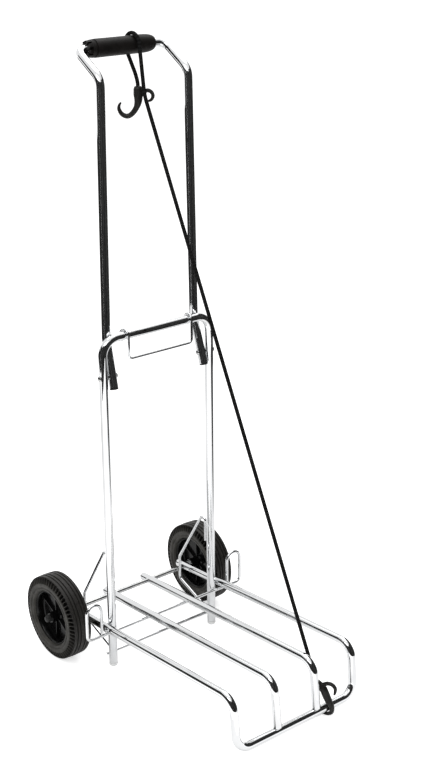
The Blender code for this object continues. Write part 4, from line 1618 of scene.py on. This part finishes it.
def show_to_metal(thing: Piece, shade: float, spread: float) -> None:
    """Make a thing of the studio that only polished metal sees.

    Args:
        thing: The thing.
        shade: How light its darkest patches are.
        spread: How much lighter its lightest patches are.
    """
    stage_grey(thing, (shade, spread * shade), cells=1.5, detail=SMOOTH, rough=0.9, specular=0.0)
    thing.visible_camera = False
    thing.visible_diffuse = False
    thing.visible_shadow = False


@dataclass(frozen=True)
class Card:
    """A card that lies over the floor and that only polished metal sees."""

    name: str
    place: Point
    size: tuple[float, float]
    shade: float
    spread: float = 1.4

    def build(self) -> None:
        """Lay the card in the studio."""
        Bench.take()
        bpy.ops.mesh.primitive_plane_add(size=1.0, location=ORIGIN)
        card = Bench.named(self.name)
        Bench.settle(card, Matrix.Translation(self.place) @ Matrix.Diagonal((*self.size, 1.0, 1.0)))
        show_to_metal(card, self.shade, self.spread)


@dataclass(frozen=True)
class Wall:
    """A piece of a round wall about the cart that only polished metal sees."""

    name: str
    start: float
    span: float
    low: float
    height: float
    shade: float
    radius: float = 1.8
    spread: float = 4.0

    def build(self) -> None:
        """Stand the wall in the studio."""
        Bench.take()
        bpy.ops.mesh.primitive_circle_add(vertices=120, radius=self.radius, location=ORIGIN)
        wall = Bench.named(self.name)
        bpy.ops.object.mode_set(mode="EDIT")
        bpy.ops.mesh.select_mode(type="EDGE")
        bpy.ops.mesh.select_all(action="SELECT")
        Bench.extrude((0.0, 0.0, self.height))

        def beyond(place: Vector) -> bool:
            """Whether a face lies outside the wall's span."""
            return (math.degrees(math.atan2(place.y, place.x)) - self.start) % 360.0 > self.span

        Bench.pick(wall, beyond, faces=True)
        bpy.ops.mesh.delete(type="FACE")
        Bench.settle(wall, Matrix.Translation((0.0, 0.0, self.low)))
        show_to_metal(wall, self.shade, self.spread)


@dataclass(frozen=True)
class Lamp:
    """A soft square lamp aimed at the cart."""

    name: str
    place: Point
    size: float
    power: float
    target: Point = (0.0, 0.0, 0.4)

    def build(self) -> None:
        """Hang the lamp."""
        data = bpy.data.lights.new(self.name, "AREA")
        data.size = self.size
        data.energy = self.power
        lamp = bpy.data.objects.new(self.name, data)
        lamp.location = self.place
        aim = Vector(self.target) - Vector(self.place)
        lamp.rotation_euler = aim.to_track_quat("-Z", "Y").to_euler()
        bpy.context.scene.collection.objects.link(lamp)


@dataclass(frozen=True)
class Studio:
    """The plain pale studio: floor, sky, lamps, cards and walls."""

    floor: float = 40.0
    tone: float = 0.93
    tone_drift: float = 0.01
    glow: float = 0.60
    sky: float = 0.66
    lamps: tuple[Lamp, ...] = (
        Lamp("key_lamp", (-2.4, -1.6, 3.0), 2.4, 46.0),
        Lamp("top_lamp", (0.6, 0.8, 3.4), 2.8, 40.0),
    )
    cards: tuple[Card, ...] = (
        Card("grey_floor", (1.15, 0.2, 0.002), (1.7, 3.2), 0.80),
        Card("back_floor", (-0.10, 1.15, 0.002), (0.8, 1.3), 0.74),
        Card("front_floor", (0.50, -0.80, 0.003), (0.9, 1.0), 0.80),
        Card("left_floor", (-0.90, 0.80, 0.0025), (1.3, 1.3), 0.77),
        Card("near_floor", (0.025, 0.06, 0.0015), (0.55, 0.78), 0.85),
        Card("dark_floor", (1.05, -0.75, 0.004), (1.25, 1.1), 0.02),
    )
    walls: tuple[Wall, ...] = (
        Wall("back_wall", 85.0, 45.0, 0.003, 0.60, 0.012),
        Wall("side_wall", 130.0, 50.0, 0.003, 1.6, 0.012),
        Wall("left_wall", 180.0, 90.0, 0.003, 1.7, 0.012, 1.50),
        Wall("front_wall", 270.0, 105.0, 0.003, 2.1, 0.012, 1.50),
        Wall("window", -167.0, 5.0, 0.18, 0.14, 0.12, 1.60),
    )

    @staticmethod
    def seen_directly(sheet: NodeSheet) -> Socket:
        """One where the camera, metal or glass looks, and nought for soft light.

        Args:
            sheet: The nodes to add to.

        Returns:
            The value.
        """
        rays = sheet.add("LightPath").outputs
        seen = sheet.maths("MAXIMUM", rays["Is Camera Ray"], rays["Is Glossy Ray"])
        return sheet.maths("MAXIMUM", seen, rays["Is Transmission Ray"])

    def lay_floor(self) -> None:
        """Lay the pale floor, which glows a little where the camera looks."""
        Bench.take()
        bpy.ops.mesh.primitive_plane_add(size=self.floor, location=ORIGIN)
        floor, tones = Bench.named("studio_floor"), (self.tone, self.tone + self.tone_drift)
        sheet = stage_grey(floor, tones, cells=3.0, detail=SOFT, rough=0.85, specular=0.1)
        glow = sheet.ranged(self.seen_directly(sheet), 0.0, self.glow, (0.0, 1.0))
        sheet.shade({"Emission Color": WHITE, "Emission Strength": glow})

    def light_sky(self) -> None:
        """A soft sky that looks white to the camera, to metal and through glass."""
        world = bpy.data.worlds.new("studio_sky")
        sheet = NodeSheet(world, "Background")
        level = sheet.ranged(self.seen_directly(sheet), self.sky, 1.0, (0.0, 1.0))
        sheet.shade({"Color": WHITE, "Strength": level})
        bpy.context.scene.world = world

    def build(self) -> None:
        """Set the studio up."""
        self.lay_floor()
        self.light_sky()
        for item in (*self.lamps, *self.cards, *self.walls):
            item.build()
        bpy.context.scene.view_settings.view_transform = "Standard"


def main() -> None:
    """Build the cart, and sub-assembly by sub-assembly."""
    logging.basicConfig(level=logging.INFO, format="%(name)s: %(message)s")
    PhotoCamera().build()
    ElasticCord().build(LOWER_HOOK.build(), UPPER_HOOK.build())
    LowerFrame().build()
    RunningGear().build()
    for side in Side:
        Wheel(side).build()
    Platform().build()
    Handle().build()
    Bail().build()
    Studio().build()


if __name__ == "__main__":
    main()
